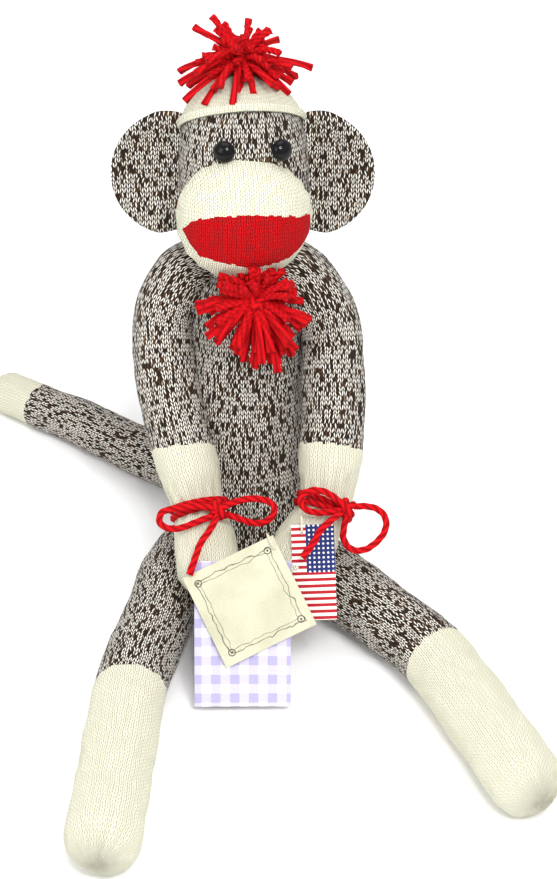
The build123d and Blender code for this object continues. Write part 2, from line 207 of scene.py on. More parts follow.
@dataclass(frozen=True)
class StockinetteKnit(Finish):
    """Machine-knitted cotton sock fabric: columns of V-shaped stitches that stand out as ribs.

    The eye reads the upright ribs, the slanted legs of each stitch and, in marl, the hard
    dashes of dark and cream ply that the twist of the yarn brings up.
    """

    marl: bool = False
    cream: str = "#F6F5DF"
    # painted shade of the cream knit, for the valleys between stitches
    cream_painted_shade: str = "#BDB897"
    # the dark ply's colour, which is also painted as shade in the marl's gaps between stitch legs
    marl_dark_and_gap_shade: str = "#2B1E14"
    marl_brown: str = "#6B4B2C"
    marl_cream: str = "#F6F1E6"
    red: str = "#CB0A12"
    # painted shade of the red knit, for the valleys between stitches
    red_painted_shade: str = "#6E0408"
    slant: float = 1.3           # courses that a stitch's leg climbs across one wale
    relief_mm: float = 0.8

    def build(self) -> bpy.types.Material:
        """Builds the knit from the piece's own UV map, in wales and courses.

        Returns:
            The finished material.
        """
        material, tree, shader = self.start()
        grid = add(tree, "UVMap", {"uv_map": "knit"}).outputs[0]
        drift = add(tree, "TexNoise", inputs={"Vector": grid, "Scale": 0.35, "Detail": 1.0}).outputs["Color"]
        drift = add(tree, "VectorMath", {"operation": "SUBTRACT"}, {0: drift, 1: (0.5, 0.5, 0.5)}).outputs[0]
        drift = add(tree, "VectorMath", {"operation": "SCALE"}, {0: drift, "Scale": 0.9}).outputs[0]
        grid = add(tree, "VectorMath", {"operation": "ADD"}, {0: grid, 1: drift}).outputs[0]
        parts = add(tree, "SeparateXYZ", inputs={0: grid}).outputs
        wale, course = parts[0], parts[1]
        offset = maths(tree, "SUBTRACT", maths(tree, "FRACT", wale), 0.5)
        reach = maths(tree, "ABSOLUTE", offset)
        lane = maths(tree, "SUBTRACT", course, maths(tree, "MULTIPLY", reach, self.slant))
        phase = maths(tree, "FRACT", lane)
        swell = maths(tree, "MULTIPLY", phase, maths(tree, "SUBTRACT", 1.0, phase))
        thick = maths(tree, "MULTIPLY", swell, 4.0)
        beside = maths(tree, "ABSOLUTE", maths(tree, "SUBTRACT", maths(tree, "MULTIPLY", reach, 4.0), 1.0))
        crown = maths(tree, "SUBTRACT", 1.0, maths(tree, "POWER", beside, 2.0))
        valley = maths(tree, "POWER", maths(tree, "MULTIPLY", reach, 2.0), 5.0)
        crown = maths(tree, "SUBTRACT", crown, maths(tree, "MULTIPLY", valley, 0.35))
        height = maths(tree, "SQRT", maths(tree, "MAXIMUM", maths(tree, "MULTIPLY", thick, crown), 0.0))
        half = maths(tree, "MULTIPLY", maths(tree, "SIGN", offset), 0.25)
        leg = add(tree, "CombineXYZ", inputs={
            0: maths(tree, "ADD", maths(tree, "FLOOR", wale), half),
            1: maths(tree, "FLOOR", lane), 2: 3.0}).outputs[0]
        chance = add(tree, "TexWhiteNoise", {"noise_dimensions": "3D"}, {"Vector": leg}).outputs["Value"]
        # Painted shade: where the yarn lies low, between stitch legs and between wales, the cream is darkened
        # towards its shade colour.
        shade = add(tree, "MapRange", {"interpolation_type": "SMOOTHSTEP"},
                    {"Value": height, "From Min": 0.1, "From Max": 0.62}).outputs[0]
        cream = blend_colours(tree, shade, self.cream_painted_shade, self.cream)
        colour = cream
        if self.marl:
            marled = self.marl_colour(tree, lane, wale, chance, height)
            colour = blend_colours(tree, self.zone(tree, "cream_mm", wale), marled, cream)
        # The red mouth takes the same painted shade in its valleys.
        red = blend_colours(tree, shade, self.red_painted_shade, self.red)
        colour = blend_colours(tree, self.zone(tree, "red_mm", wale), colour, red)
        tree.links.new(colour, shader.inputs["Base Color"])
        fibre = add(tree, "TexNoise", inputs={"Vector": grid, "Scale": 6.0, "Detail": 3.0}).outputs["Fac"]
        relief = maths(tree, "ADD", height, maths(tree, "MULTIPLY", fibre, 0.25))
        bump = add(tree, "Bump", inputs={"Strength": 1.0, "Distance": self.relief_mm * MM, "Height": relief})
        tree.links.new(bump.outputs[0], shader.inputs["Normal"])
        return material

    def marl_colour(self, tree: bpy.types.NodeTree, lane: Input, wale: Input, chance: Input,
                    height: Input) -> bpy.types.NodeSocket:
        """Colour of the marl yarn: dashes of its dark and its cream ply, with painted shade in the gaps
        between stitch legs.

        Args:
            tree: the material's node tree.
            lane: course number along a stitch's leg.
            wale: wale number across the knit.
            chance: random number of each stitch's leg.
            height: height of the yarn, 0 to 1.

        Returns:
            The yarn's colour.
        """
        place = add(tree, "CombineXYZ", inputs={
            0: maths(tree, "MULTIPLY", wale, 1.7), 1: maths(tree, "MULTIPLY", lane, 0.8), 2: 0.0}).outputs[0]
        ply = add(tree, "TexNoise", inputs={"Vector": place, "Scale": 1.3, "Detail": 2.0}).outputs["Fac"]
        mix = maths(tree, "ADD", maths(tree, "MULTIPLY", chance, 0.8), maths(tree, "MULTIPLY", ply, 0.24))
        dashes = ramp(tree, mix, [(0.0, self.marl_dark_and_gap_shade), (0.24, self.marl_dark_and_gap_shade), (0.33, self.marl_brown),
                                  (0.41, self.marl_cream), (1.0, self.marl_cream)])
        # Painted shade: the low yarn in the gaps between stitch legs takes the dark ply colour.
        edge = add(tree, "MapRange", {"interpolation_type": "SMOOTHSTEP"},
                   {"Value": height, "From Min": 0.55, "From Max": 0.85}).outputs[0]
        return blend_colours(tree, edge, self.marl_dark_and_gap_shade, dashes)

    def zone(self, tree: bpy.types.NodeTree, attribute: str, wale: Input) -> bpy.types.NodeSocket:
        """Mask that is 1 past the edge of a colour, with the edge stepped from wale to wale.

        Args:
            tree: the material's node tree.
            attribute: vertex attribute with the distance past the colour's edge.
            wale: wale number across the knit.

        Returns:
            The mask.
        """
        past = add(tree, "Attribute", {"attribute_name": attribute}).outputs["Fac"]
        column = add(tree, "CombineXYZ", inputs={0: maths(tree, "FLOOR", wale), 1: 7.0, 2: 1.0}).outputs[0]
        step = add(tree, "TexWhiteNoise", {"noise_dimensions": "3D"}, {"Vector": column}).outputs["Value"]
        shifted = maths(tree, "ADD", past, maths(tree, "MULTIPLY", maths(tree, "SUBTRACT", step, 0.5), 1.6))
        return maths(tree, "GREATER_THAN", shifted, 0.0)


@dataclass(frozen=True)
class PliedYarn(Finish):
    """Soft acrylic yarn: matt, with fine fibres in its tone and relief, painted shade in the lines between
    its plies and painted highlight on their tops.
    """

    colour: str = "#BC0610"
    # painted shade in the grooves between plies
    ply_groove_shade: str = "#560206"
    # painted highlight on the tops of the plies
    ply_top_highlight: str = "#DA1019"
    fibre_mm: float = 0.5

    def build(self) -> bpy.types.Material:
        """Builds the yarn from object coordinates and its ply attribute.

        Returns:
            The finished material.
        """
        material, tree, shader = self.start()
        place = add(tree, "TexCoord").outputs["Object"]
        fibres = add(tree, "TexNoise", inputs={
            "Vector": place, "Scale": 1 / (self.fibre_mm * MM), "Detail": 4.0,
            "Roughness": 0.65}).outputs["Fac"]
        ply = add(tree, "Attribute", {"attribute_name": "ply"}).outputs["Fac"]
        # Painted shade and highlight: ply depth darkens the grooves and lightens the tops, and the fibre
        # noise adds random tone.
        tone = maths(tree, "ADD", maths(tree, "MULTIPLY", ply, 0.75), maths(tree, "MULTIPLY", fibres, 0.35))
        tree.links.new(ramp(tree, tone, [(0.05, self.ply_groove_shade), (0.55, self.colour), (1.0, self.ply_top_highlight)]),
                       shader.inputs["Base Color"])
        bump = add(tree, "Bump", inputs={"Strength": 0.8, "Distance": 0.4 * MM, "Height": fibres})
        tree.links.new(bump.outputs[0], shader.inputs["Normal"])
        return material


@dataclass(frozen=True)
class PolishedPlastic(Finish):
    """Moulded and polished black plastic: a deep, even black with sharp highlights."""

    colour: str = "#08080A"

    def build(self) -> bpy.types.Material:
        """Builds the plastic with faint wear in its polish.

        Returns:
            The finished material.
        """
        material, tree, shader = self.start()
        place = add(tree, "TexCoord").outputs["Object"]
        wear = add(tree, "TexNoise", inputs={"Vector": place, "Scale": 400.0, "Detail": 3.0}).outputs["Fac"]
        tree.links.new(ramp(tree, wear, [(0.3, self.colour), (0.8, "#131317")]), shader.inputs["Base Color"])
        tree.links.new(maths(tree, "MULTIPLY_ADD", wear, 0.08, self.roughness), shader.inputs["Roughness"])
        return material


@dataclass(frozen=True)
class PlainFibre(Finish):
    """Cotton thread or moulded white plastic: pale, matt and slightly mottled."""

    colour: str = "#E9E5D6"

    def build(self) -> bpy.types.Material:
        """Builds the mottled surface.

        Returns:
            The finished material.
        """
        material, tree, shader = self.start()
        place = add(tree, "TexCoord").outputs["Object"]
        mottle = add(tree, "TexNoise", inputs={"Vector": place, "Scale": 900.0, "Detail": 4.0}).outputs["Fac"]
        colour = ramp(tree, mottle, [(0.3, "#BDB8A6"), (0.7, self.colour)])
        tree.links.new(colour, shader.inputs["Base Color"])
        bump = add(tree, "Bump", inputs={"Strength": 0.6, "Distance": 0.2 * MM, "Height": mottle})
        tree.links.new(bump.outputs[0], shader.inputs["Normal"])
        return material


class CardPrint(Enum):
    """What is printed on a card."""

    BORDER = "border"
    CHECKS = "checks"
    STRIPES = "stripes"


@dataclass(frozen=True)
class PrintedCard(Finish):
    """Uncoated card, printed: matt, with paper fibres in its tone and a little ink spread."""

    printed: CardPrint = CardPrint.BORDER
    width_mm: float = 56.0
    height_mm: float = 56.0
    check_mm: float = 10.6
    stripe_mm: float = 3.6
    dot_mm: float = 2.6
    far_mm: float = 500.0        # start of the repeats, well off the card

    def build(self) -> bpy.types.Material:
        """Builds the card from its UV map, in millimetres from its middle.

        Returns:
            The finished material.
        """
        material, tree, shader = self.start()
        sheet = add(tree, "UVMap", {"uv_map": "card"}).outputs[0]
        parts = add(tree, "SeparateXYZ", inputs={0: sheet}).outputs
        colour = getattr(self, self.printed.value)(tree, parts[0], parts[1])
        fibres = add(tree, "TexNoise", inputs={"Vector": sheet, "Scale": 1.4, "Detail": 5.0}).outputs["Fac"]
        tone = ramp(tree, fibres, [(0.25, "#D9D6C8"), (0.75, "#FFFFFF")])
        tree.links.new(blend_colours(tree, 0.6, colour, tone, "MULTIPLY"), shader.inputs["Base Color"])
        bump = add(tree, "Bump", inputs={"Strength": 0.25, "Distance": 0.1 * MM, "Height": fibres})
        tree.links.new(bump.outputs[0], shader.inputs["Normal"])
        return material

    def inset(self, tree: bpy.types.NodeTree, x: Input, y: Input) -> bpy.types.NodeSocket:
        """Distance in from the nearest edge, in millimetres.

        Args:
            tree: the material's node tree.
            x: distance right of the card's middle, in millimetres.
            y: distance up from the card's middle, in millimetres.

        Returns:
            The distance, in millimetres.
        """
        from_side = maths(tree, "SUBTRACT", self.width_mm / 2, maths(tree, "ABSOLUTE", x))
        from_end = maths(tree, "SUBTRACT", self.height_mm / 2, maths(tree, "ABSOLUTE", y))
        return maths(tree, "MINIMUM", from_side, from_end)

    def repeat(self, tree: bpy.types.NodeTree, along: Input, pitch_mm: float) -> bpy.types.NodeSocket:
        """Share of the way through each repeat of a pitch."""
        shifted = maths(tree, "ADD", along, self.far_mm)
        return maths(tree, "FRACT", maths(tree, "DIVIDE", shifted, pitch_mm))

    def line(self, tree: bpy.types.NodeTree, distance: Input, at_mm: float,
             half_mm: float) -> bpy.types.NodeSocket:
        """Mask of a printed line at a distance, with soft ink edges.

        Args:
            tree: the material's node tree.
            distance: the distance that is measured.
            at_mm: distance at which the line is drawn.
            half_mm: half the line's width.

        Returns:
            The mask.
        """
        off = maths(tree, "ABSOLUTE", maths(tree, "SUBTRACT", distance, at_mm))
        spread = maths(tree, "SMOOTH_MIN", maths(tree, "DIVIDE", off, half_mm), 1.0, 0.2)
        return maths(tree, "SUBTRACT", 1.0, spread)

    def border(self, tree: bpy.types.NodeTree, x: Input, y: Input) -> bpy.types.NodeSocket:
        """Parchment with a dark scrolled frame, drawn twice, and small leaves at the corners.

        Args:
            tree: the material's node tree.
            x: distance right of the card's middle, in millimetres.
            y: distance up from the card's middle, in millimetres.

        Returns:
            The print's colour.
        """
        inset = self.inset(tree, x, y)
        sway = add(tree, "CombineXYZ", inputs={0: x, 1: y}).outputs[0]
        sway = add(tree, "TexNoise", inputs={"Vector": sway, "Scale": 0.16, "Detail": 1.0}).outputs["Fac"]
        sway = maths(tree, "MULTIPLY", maths(tree, "SUBTRACT", sway, 0.5), 4.5)
        outer = self.line(tree, maths(tree, "ADD", inset, sway), 5.4, 0.42)
        inner = self.line(tree, maths(tree, "SUBTRACT", inset, maths(tree, "MULTIPLY", sway, 0.7)), 7.4, 0.26)
        corner = maths(tree, "SUBTRACT", self.width_mm / 2 - 6.5, maths(tree, "ABSOLUTE", x))
        corner = maths(tree, "POWER", corner, 2.0)
        corner = maths(tree, "ADD", corner, maths(tree, "POWER", maths(
            tree, "SUBTRACT", self.height_mm / 2 - 6.5, maths(tree, "ABSOLUTE", y)), 2.0))
        rings = maths(tree, "SINE", maths(tree, "MULTIPLY", maths(tree, "SQRT", corner), 4.2))
        leaf = maths(tree, "MULTIPLY", maths(tree, "GREATER_THAN", rings, 0.35),
                     maths(tree, "LESS_THAN", corner, 9.0))
        ink = maths(tree, "MAXIMUM", maths(tree, "MAXIMUM", outer, inner), leaf)
        place = add(tree, "TexCoord").outputs["Object"]
        mottle = add(tree, "TexNoise", inputs={"Vector": place, "Scale": 55.0, "Detail": 4.0}).outputs["Fac"]
        paper = ramp(tree, mottle, [(0.3, "#C2C1A8"), (0.7, "#D6D5BF")])
        return blend_colours(tree, maths(tree, "MINIMUM", ink, 0.9), paper, "#2E2A24")

    def checks(self, tree: bpy.types.NodeTree, x: Input, y: Input) -> bpy.types.NodeSocket:
        """White card printed with lavender checks.

        Args:
            tree: the material's node tree.
            x: distance right of the card's middle, in millimetres.
            y: distance up from the card's middle, in millimetres.

        Returns:
            The print's colour.
        """
        bands = []
        for along in (x, y):
            bands.append(maths(tree, "GREATER_THAN", self.repeat(tree, along, self.check_mm), 0.5))
        both = maths(tree, "MULTIPLY", maths(tree, "ADD", *bands), 0.5)
        return ramp(tree, both, [(0.0, "#F3F3FA"), (0.5, "#CFCBE6"), (1.0, "#B3AED8")])

    def stripes(self, tree: bpy.types.NodeTree, x: Input, y: Input) -> bpy.types.NodeSocket:
        """Label with a navy field of white dots over red and white stripes.

        Args:
            tree: the material's node tree.
            x: distance right of the card's middle, in millimetres.
            y: distance up from the card's middle, in millimetres.

        Returns:
            The print's colour.
        """
        down = self.repeat(tree, y, self.stripe_mm)
        stripes = blend_colours(tree, maths(tree, "GREATER_THAN", down, 0.5), "#F4F1EE", "#B3202C")
        cells = []
        for along in (x, y):
            part = self.repeat(tree, along, self.dot_mm)
            cells.append(maths(tree, "POWER", maths(tree, "SUBTRACT", part, 0.5), 2.0))
        dot = maths(tree, "LESS_THAN", maths(tree, "ADD", *cells), 0.055)
        field_colour = blend_colours(tree, dot, "#22306E", "#F4F1EE")
        in_field = maths(tree, "MULTIPLY", maths(tree, "GREATER_THAN", y, 0.0),
                         maths(tree, "GREATER_THAN", x, -4.0))
        return blend_colours(tree, in_field, stripes, field_colour)


@dataclass(frozen=True)
class StudioFloor(Finish):
    """Pale matt paper sweep under the toy."""

    colour: str = "#FFFFFF"

    def build(self) -> bpy.types.Material:
        """Builds the floor with the faintest unevenness.

        Returns:
            The finished material.
        """
        material, tree, shader = self.start()
        place = add(tree, "TexCoord").outputs["Object"]
        tone = add(tree, "TexNoise", inputs={"Vector": place, "Scale": 3.0}).outputs["Fac"]
        tree.links.new(ramp(tree, tone, [(0.0, "#FAFAFA"), (1.0, self.colour)]), shader.inputs["Base Color"])
        return material


MARL = StockinetteKnit("marl cotton knit", "marl_knit", 0.92, 0.03, marl=True, slant=2.0)
CREAM = StockinetteKnit("cream cotton knit", "cream_knit", 0.92, 0.05)
MUZZLE = StockinetteKnit("cream and red cotton knit", "muzzle_knit", 0.92)
YARN = PliedYarn("red acrylic yarn", "red_yarn", 0.9)
EYE = PolishedPlastic("polished black plastic", "eye_plastic", 0.03, specular=0.2)
THREAD = PlainFibre("cotton thread", "card_thread", colour="#E4DEC8")
WASHER = PlainFibre("moulded white plastic", "washer_plastic", 0.5, colour="#F2F2EE")
PARCHMENT = PrintedCard("parchment card", "parchment_card", 0.85)
GINGHAM = PrintedCard("lavender checked card", "gingham_card", 0.7, printed=CardPrint.CHECKS, width_mm=54.0,
                      height_mm=82.0)
LABEL = PrintedCard("printed striped label", "woven_label", 0.6, printed=CardPrint.STRIPES, width_mm=24.0,
                    height_mm=54.0)
FLOOR = StudioFloor("white paper sweep", "floor", 0.95)


# ---- forms -----------------------------------------------------------------

class Spine:
    """A smooth line through a soft piece, with a radius at each point."""

    def __init__(self, points: list[Vector], radii: list[float], across: Vector, samples: int = 160) -> None:
        """Samples the line by Catmull-Rom and carries a steady sideways direction along it.

        Args:
            points: points that the line passes through.
            radii: radius at each point.
            across: sideways direction at the start.
            samples: how many steps the line is sampled in.
        """
        self.places: list[Vector] = []
        self.radii: list[float] = []
        spans = len(points) - 1
        ends = [points[0] * 2 - points[1], *points, points[-1] * 2 - points[-2]]
        widths = [radii[0], *radii, radii[-1]]
        for i in range(samples + 1):
            at = i / samples * spans
            k = min(int(at), spans - 1)
            t = at - k
            self.places.append(self.curve(ends[k:k + 4], t))
            self.radii.append(self.curve([Vector((w, 0, 0)) for w in widths[k:k + 4]], t).x)
        self.lengths = [0.0]
        for a, b in zip(self.places, self.places[1:]):
            self.lengths.append(self.lengths[-1] + (b - a).length)
        self.ways = [(self.places[min(i + 1, samples)] - self.places[max(i - 1, 0)]).normalized()
                     for i in range(samples + 1)]
        self.sides = []
        side = across
        for way in self.ways:
            side = (side - way * side.dot(way)).normalized()
            self.sides.append(side)

    @staticmethod
    def curve(four: list[Vector], t: float) -> Vector:
        """Catmull-Rom point between the middle two of four.

        Args:
            four: four points in a row.
            t: share of the way from the second to the third.

        Returns:
            The point.
        """
        a, b, c, d = four
        return 0.5 * ((2 * b) + (c - a) * t + (2 * a - 5 * b + 4 * c - d) * t * t
                      + (3 * b - a - 3 * c + d) * t ** 3)

    @property
    def length(self) -> float:
        """Length of the line."""
        return self.lengths[-1]

    def at(self, distance: float) -> tuple[Vector, Vector, Vector, float]:
        """Place, way, side and radius at a distance along the line.

        Args:
            distance: distance along the spine.

        Returns:
            Place, way, side and radius there.
        """
        distance = min(max(distance, 0.0), self.length)
        low, high = 0, len(self.lengths) - 1
        while high - low > 1:
            half = (low + high) // 2
            low, high = (half, high) if self.lengths[half] <= distance else (low, half)
        t = (distance - self.lengths[low]) / max(self.lengths[high] - self.lengths[low], 1e-9)
        mix = lambda a, b: a + (b - a) * t
        return (mix(self.places[low], self.places[high]), mix(self.ways[low], self.ways[high]).normalized(),
                mix(self.sides[low], self.sides[high]).normalized(), mix(self.radii[low], self.radii[high]))


def clear_selection() -> None:
    """Deselects everything, so that an operator acts on new pieces alone."""
    for chosen in bpy.context.selected_objects:
        chosen.select_set(False)


def choose(piece: bpy.types.Object) -> None:
    """Makes a piece the only one selected, and the active one.

    Args:
        piece: the piece to work on.
    """
    clear_selection()
    piece.select_set(True)
    bpy.context.view_layer.objects.active = piece


def finish_mesh(piece: bpy.types.Object, name: str) -> bpy.types.Object:
    """Names a piece, smooths it and turns its faces outwards.

    Args:
        piece: the piece to work on.
        name: the piece's name.

    Returns:
        The same piece.
    """
    piece.name = name
    piece.data.name = name
    choose(piece)
    bpy.ops.object.mode_set(mode="EDIT")
    bpy.ops.mesh.select_all(action="SELECT")
    bpy.ops.mesh.normals_make_consistent(inside=False)
    bpy.ops.object.mode_set(mode="OBJECT")
    bpy.ops.object.shade_smooth()
    return piece


def ripple(place: Vector, size_mm: float, depth_mm: float, seed: float = 0.0) -> float:
    """Gentle unevenness of stuffing under the knit, in metres."""
    return noise.noise(place / (size_mm * MM) + Vector((seed, seed, seed))) * depth_mm * MM


@dataclass
class KnitGauge:
    """How fine the sock knit is: the spacing of its ribs and of its rows."""

    wale_mm: float = 2.5
    course_mm: float = 2.6


FINE_GAUGE = KnitGauge(2.4, 2.0)


def set_attribute(piece: bpy.types.Object, name: str, value: Callable[[Vector, float, float], float],
                  params: list[tuple[float, float]]) -> None:
    """Stores a number at each vertex, from its place and its place on the form.

    Args:
        piece: the piece to work on.
        name: the piece's name.
        value: gives a vertex's number from its place and its pair in params.
        params: a pair of numbers for each vertex.
    """
    attribute = piece.data.attributes.new(name, "FLOAT", "POINT")
    for vertex, (turn, along) in zip(piece.data.vertices, params):
        attribute.data[vertex.index].value = value(vertex.co, turn, along)


@dataclass
class StuffedForm:
    """A closed knitted form: a ball whose rings are drawn out along a spine."""

    name: str
    spine: Spine
    around: int = 96
    rings: int = 96
    start_cap: float = 1.0       # length of each rounded end, in radii
    end_cap: float = 1.0
    gauge: KnitGauge = field(default_factory=KnitGauge)
    shape: Optional[Callable[[Vector, float, float, Vector], Vector]] = None
    cream_from: Optional[Callable[[Vector, float, float], float]] = None
    floor: float = 0.4 * MM

    def section(self, share: float) -> tuple[float, float]:
        """Distance along the spine, and share of the radius, of the ring at this share.

        Args:
            share: share of the form's length, in rings.

        Returns:
            Distance along the spine, and share of the radius.
        """
        spine = self.spine
        head, tail = self.start_cap * spine.at(0)[3], self.end_cap * spine.at(spine.length)[3]
        caps = 0.16
        if share < caps:
            angle = share / caps * math.pi / 2
            return head * (1 - math.cos(angle)), math.sin(angle)
        if share > 1 - caps:
            angle = (1 - share) / caps * math.pi / 2
            return spine.length - tail * (1 - math.cos(angle)), math.sin(angle)
        run = (share - caps) / (1 - 2 * caps)
        return head + run * (spine.length - head - tail), 1.0

    def build(self) -> bpy.types.Object:
        """Makes the mesh with its knit UV map and its colour attributes.

        Returns:
            The piece.
        """
        clear_selection()
        bpy.ops.mesh.primitive_uv_sphere_add(segments=self.around, ring_count=self.rings, radius=1.0)
        piece = bpy.context.object
        mesh = piece.data
        params, distances = [], {}
        for vertex in mesh.vertices:
            share = round(math.acos(max(-1, min(1, -vertex.co.z))) / math.pi * self.rings) / self.rings
            turn = math.atan2(vertex.co.y, vertex.co.x)
            distance, width = self.section(share)
            place, way, side, radius = self.spine.at(distance)
            other = way.cross(side)
            outward = side * math.cos(turn) + other * math.sin(turn)
            spot = place + outward * radius * width
            if self.shape:
                spot = self.shape(spot, turn, distance, outward)
            spot.z = max(spot.z, self.floor)
            vertex.co = spot
            params.append((turn, distance))
            distances[round(share * self.rings)] = distance
        widest = max(self.spine.radii)
        wales = max(8, round(2 * math.pi * widest / (self.gauge.wale_mm * MM)))
        layer = mesh.uv_layers.active
        layer.name = "knit"
        for entry in layer.data:
            share = round(entry.uv.y * self.rings)
            entry.uv = (entry.uv.x * wales, distances[share] / (self.gauge.course_mm * MM))
        set_attribute(piece, "cream_mm", self.cream_from or (lambda *_: OUTSIDE_MM), params)
        set_attribute(piece, "red_mm", lambda *_: OUTSIDE_MM, params)
        return finish_mesh(piece, self.name)


# ---- yarn ------------------------------------------------------------------

@dataclass
class YarnStrand:
    """A plied yarn: a tube whose section has one lobe for each ply and turns along the strand."""

    radius: float
    plies: int = 3
    around: int = 12
    pitch: float = 9.0 * MM      # length of one turn of the twist
    lobe: float = 0.16
    flare: float = 0.0           # how much a cut end opens

    def tube(self, points: list[Vector], phase: float = 0.0, closed: bool = False) -> tuple[list, list, list]:
        """Vertices, faces and ply depths of a strand through the points.

        Args:
            points: the line the strand follows, close together.
            phase: turn of the twist at its start.
            closed: whether the strand is a ring.

        Returns:
            Vertices, faces and, for each vertex, 0 between plies to 1 on top of one.
        """
        side = Vector((0.31, 0.52, 0.79))
        vertices, faces, depths, gone = [], [], [], 0.0
        count = len(points)
        for i, point in enumerate(points):
            before = points[i - 1] if i or closed else points[0]
            after = points[(i + 1) % count] if i + 1 < count or closed else points[-1]
            way = (after - before).normalized()
            side = (side - way * side.dot(way)).normalized()
            other = way.cross(side)
            gone += (point - points[i - 1]).length if i else 0.0
            wide = self.radius * (1 + self.flare * max(0.0, (i / (count - 1) - 0.8) * 5) ** 2)
            for k in range(self.around):
                turn = 2 * math.pi * k / self.around
                top = math.cos(self.plies * (turn - gone / self.pitch * 2 * math.pi / self.plies * 2) + phase)
                reach = wide * (1 + self.lobe * top)
                vertices.append(point + (side * math.cos(turn) + other * math.sin(turn)) * reach)
                depths.append(0.5 + 0.5 * top)
        for i in range(count if closed else count - 1):
            for k in range(self.around):
                a, b = i * self.around + k, i * self.around + (k + 1) % self.around
                c = ((i + 1) % count) * self.around
                faces.append((a, b, c + (k + 1) % self.around, c + k))
        if not closed:
            for ring, point in ((0, points[0]), (count - 1, points[-1])):
                vertices.append(point)
                # A cut end's centre takes a low ply depth, so the yarn paints it with shade.
                depths.append(0.2)
                hub = len(vertices) - 1
                for k in range(self.around):
                    pair = (ring * self.around + k, ring * self.around + (k + 1) % self.around)
                    faces.append((*pair[::-1], hub) if ring == 0 else (*pair, hub))
        return vertices, faces, depths


def yarn_piece(name: str, strands: list[tuple[list, list, list]]) -> bpy.types.Object:
    """Joins strands into one piece with its ply attribute.

    Args:
        name: the piece's name.
        strands: vertices, faces and ply depths of each strand.

    Returns:
        The piece.
    """
    vertices, faces, depths = [], [], []
    for strand_vertices, strand_faces, strand_depths in strands:
        base = len(vertices)
        vertices += strand_vertices
        depths += strand_depths
        faces += [tuple(base + i for i in face) for face in strand_faces]
    mesh = bpy.data.meshes.new(name)
    mesh.from_pydata(vertices, [], faces)
    attribute = mesh.attributes.new("ply", "FLOAT", "POINT")
    attribute.data.foreach_set("value", depths)
    piece = bpy.data.objects.new(name, mesh)
    bpy.context.scene.collection.objects.link(piece)
    return finish_mesh(piece, name)


def spline_points(route: list[Vector]) -> list[Vector]:
    """Points read from the smooth NURBS line that has the route as its control points.

    Args:
        route: the control points.

    Returns:
        The points, in order.
    """
    curve = bpy.data.curves.new("route", "CURVE")
    curve.dimensions = "3D"
    spline = curve.splines.new("NURBS")
    spline.points.add(len(route) - 1)
    for point, place in zip(spline.points, route):
        point.co = (*place, 1.0)
    spline.order_u = 3
    spline.use_endpoint_u = True
    spline.resolution_u = 10
    carrier = bpy.data.objects.new("route", curve)
    line = bpy.data.meshes.new_from_object(carrier)
    points = [v.co.copy() for v in line.vertices]
    bpy.data.objects.remove(carrier)
    bpy.data.curves.remove(curve)
    bpy.data.meshes.remove(line)
    return points


class Noise:
    """Repeatable random numbers in 0 to 1."""

    def __init__(self, seed: int) -> None:
        """Starts from a seed."""
        self.state = seed * 2654435761 % 2 ** 32

    def next(self) -> float:
        """Next number."""
        self.state = (1664525 * self.state + 1013904223) % 2 ** 32
        return self.state / 2 ** 32

    def between(self, low: float, high: float) -> float:
        """Next number between two."""
        return low + (high - low) * self.next()


@dataclass
class Pompom:
    """Strands of yarn bound at the middle, which spread and droop."""

    name: str
    body: str
    replaces: tuple[str, ...]
    centre: Vector
    facing: Vector
    strand_length: float
    strands: int
    flatness: float              # 0 spreads in a ball, 1 in a flat rosette
    droop: float
    seed: int
    sag: float = 0.0             # how far the strands' roots lean down
    spread: tuple[float, float] = (0.8, 1.08)
    strand_radius: float = 1.9 * MM
    knot: bool = False

    def build(self, material: bpy.types.Material) -> bpy.types.Object:
        """Makes the strands as one piece.

        Args:
            material: the piece's material.

        Returns:
            The piece.
        """
        yarn = YarnStrand(self.strand_radius, lobe=0.2, flare=0.22, pitch=7 * MM)
        dice = Noise(self.seed)
        strands = []
        golden = math.pi * (3 - math.sqrt(5))
        side = (ACROSS - self.facing * ACROSS.dot(self.facing)).normalized()
        other = self.facing.cross(side)
        for i in range(self.strands):
            rise = 1 - (i + 0.5) / self.strands * (1.35 if self.flatness < 0.5 else 1.0)
            rise = rise * (1 - self.flatness * 0.55)
            turn = i * golden + dice.between(-0.3, 0.3)
            flat = math.sqrt(max(0.0, 1 - rise * rise))
            way = (self.facing * rise + (side * math.cos(turn) + other * math.sin(turn)) * flat
                   - UP * self.sag).normalized()
            reach = self.strand_length * dice.between(*self.spread)
            bend = Vector((dice.between(-1, 1), dice.between(-1, 1), dice.between(-1, 1))) * 0.16
            points = []
            for k in range(13):
                t = k / 12
                spot = self.centre + (way + bend * t) * reach * t
                spot.z -= self.droop * reach * t * t * (0.4 + flat)
                points.append(spot)
            strands.append(yarn.tube(points, dice.between(0, 6)))
        if self.knot:
            strands += self.tie(yarn, side, other)
        piece = yarn_piece(self.name, strands)
        YARN.dress(piece, material)
        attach(piece, self.body)
        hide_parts(*self.replaces)
        return piece

    def tie(self, yarn: YarnStrand, side: Vector, other: Vector) -> list[tuple[list, list, list]]:
        """The small knot in the middle, two crossed turns of yarn.

        Args:
            yarn: the strand to lay.
            side: a direction across the pompom.
            other: the direction square to it.

        Returns:
            Both turns, as strands.
        """
        turns = []
        for tilt in (0.6, -0.7):
            axis = (side * math.cos(tilt) + other * math.sin(tilt))
            ring = []
            for k in range(20):
                angle = 2 * math.pi * k / 20
                ring.append(self.centre + self.facing * (3.2 * MM + 3.6 * MM * math.cos(angle))
                            + axis * 3.4 * MM * math.sin(angle))
            turns.append(yarn.tube(ring, tilt, closed=True))
        return turns


# ---- sub-assemblies --------------------------------------------------------

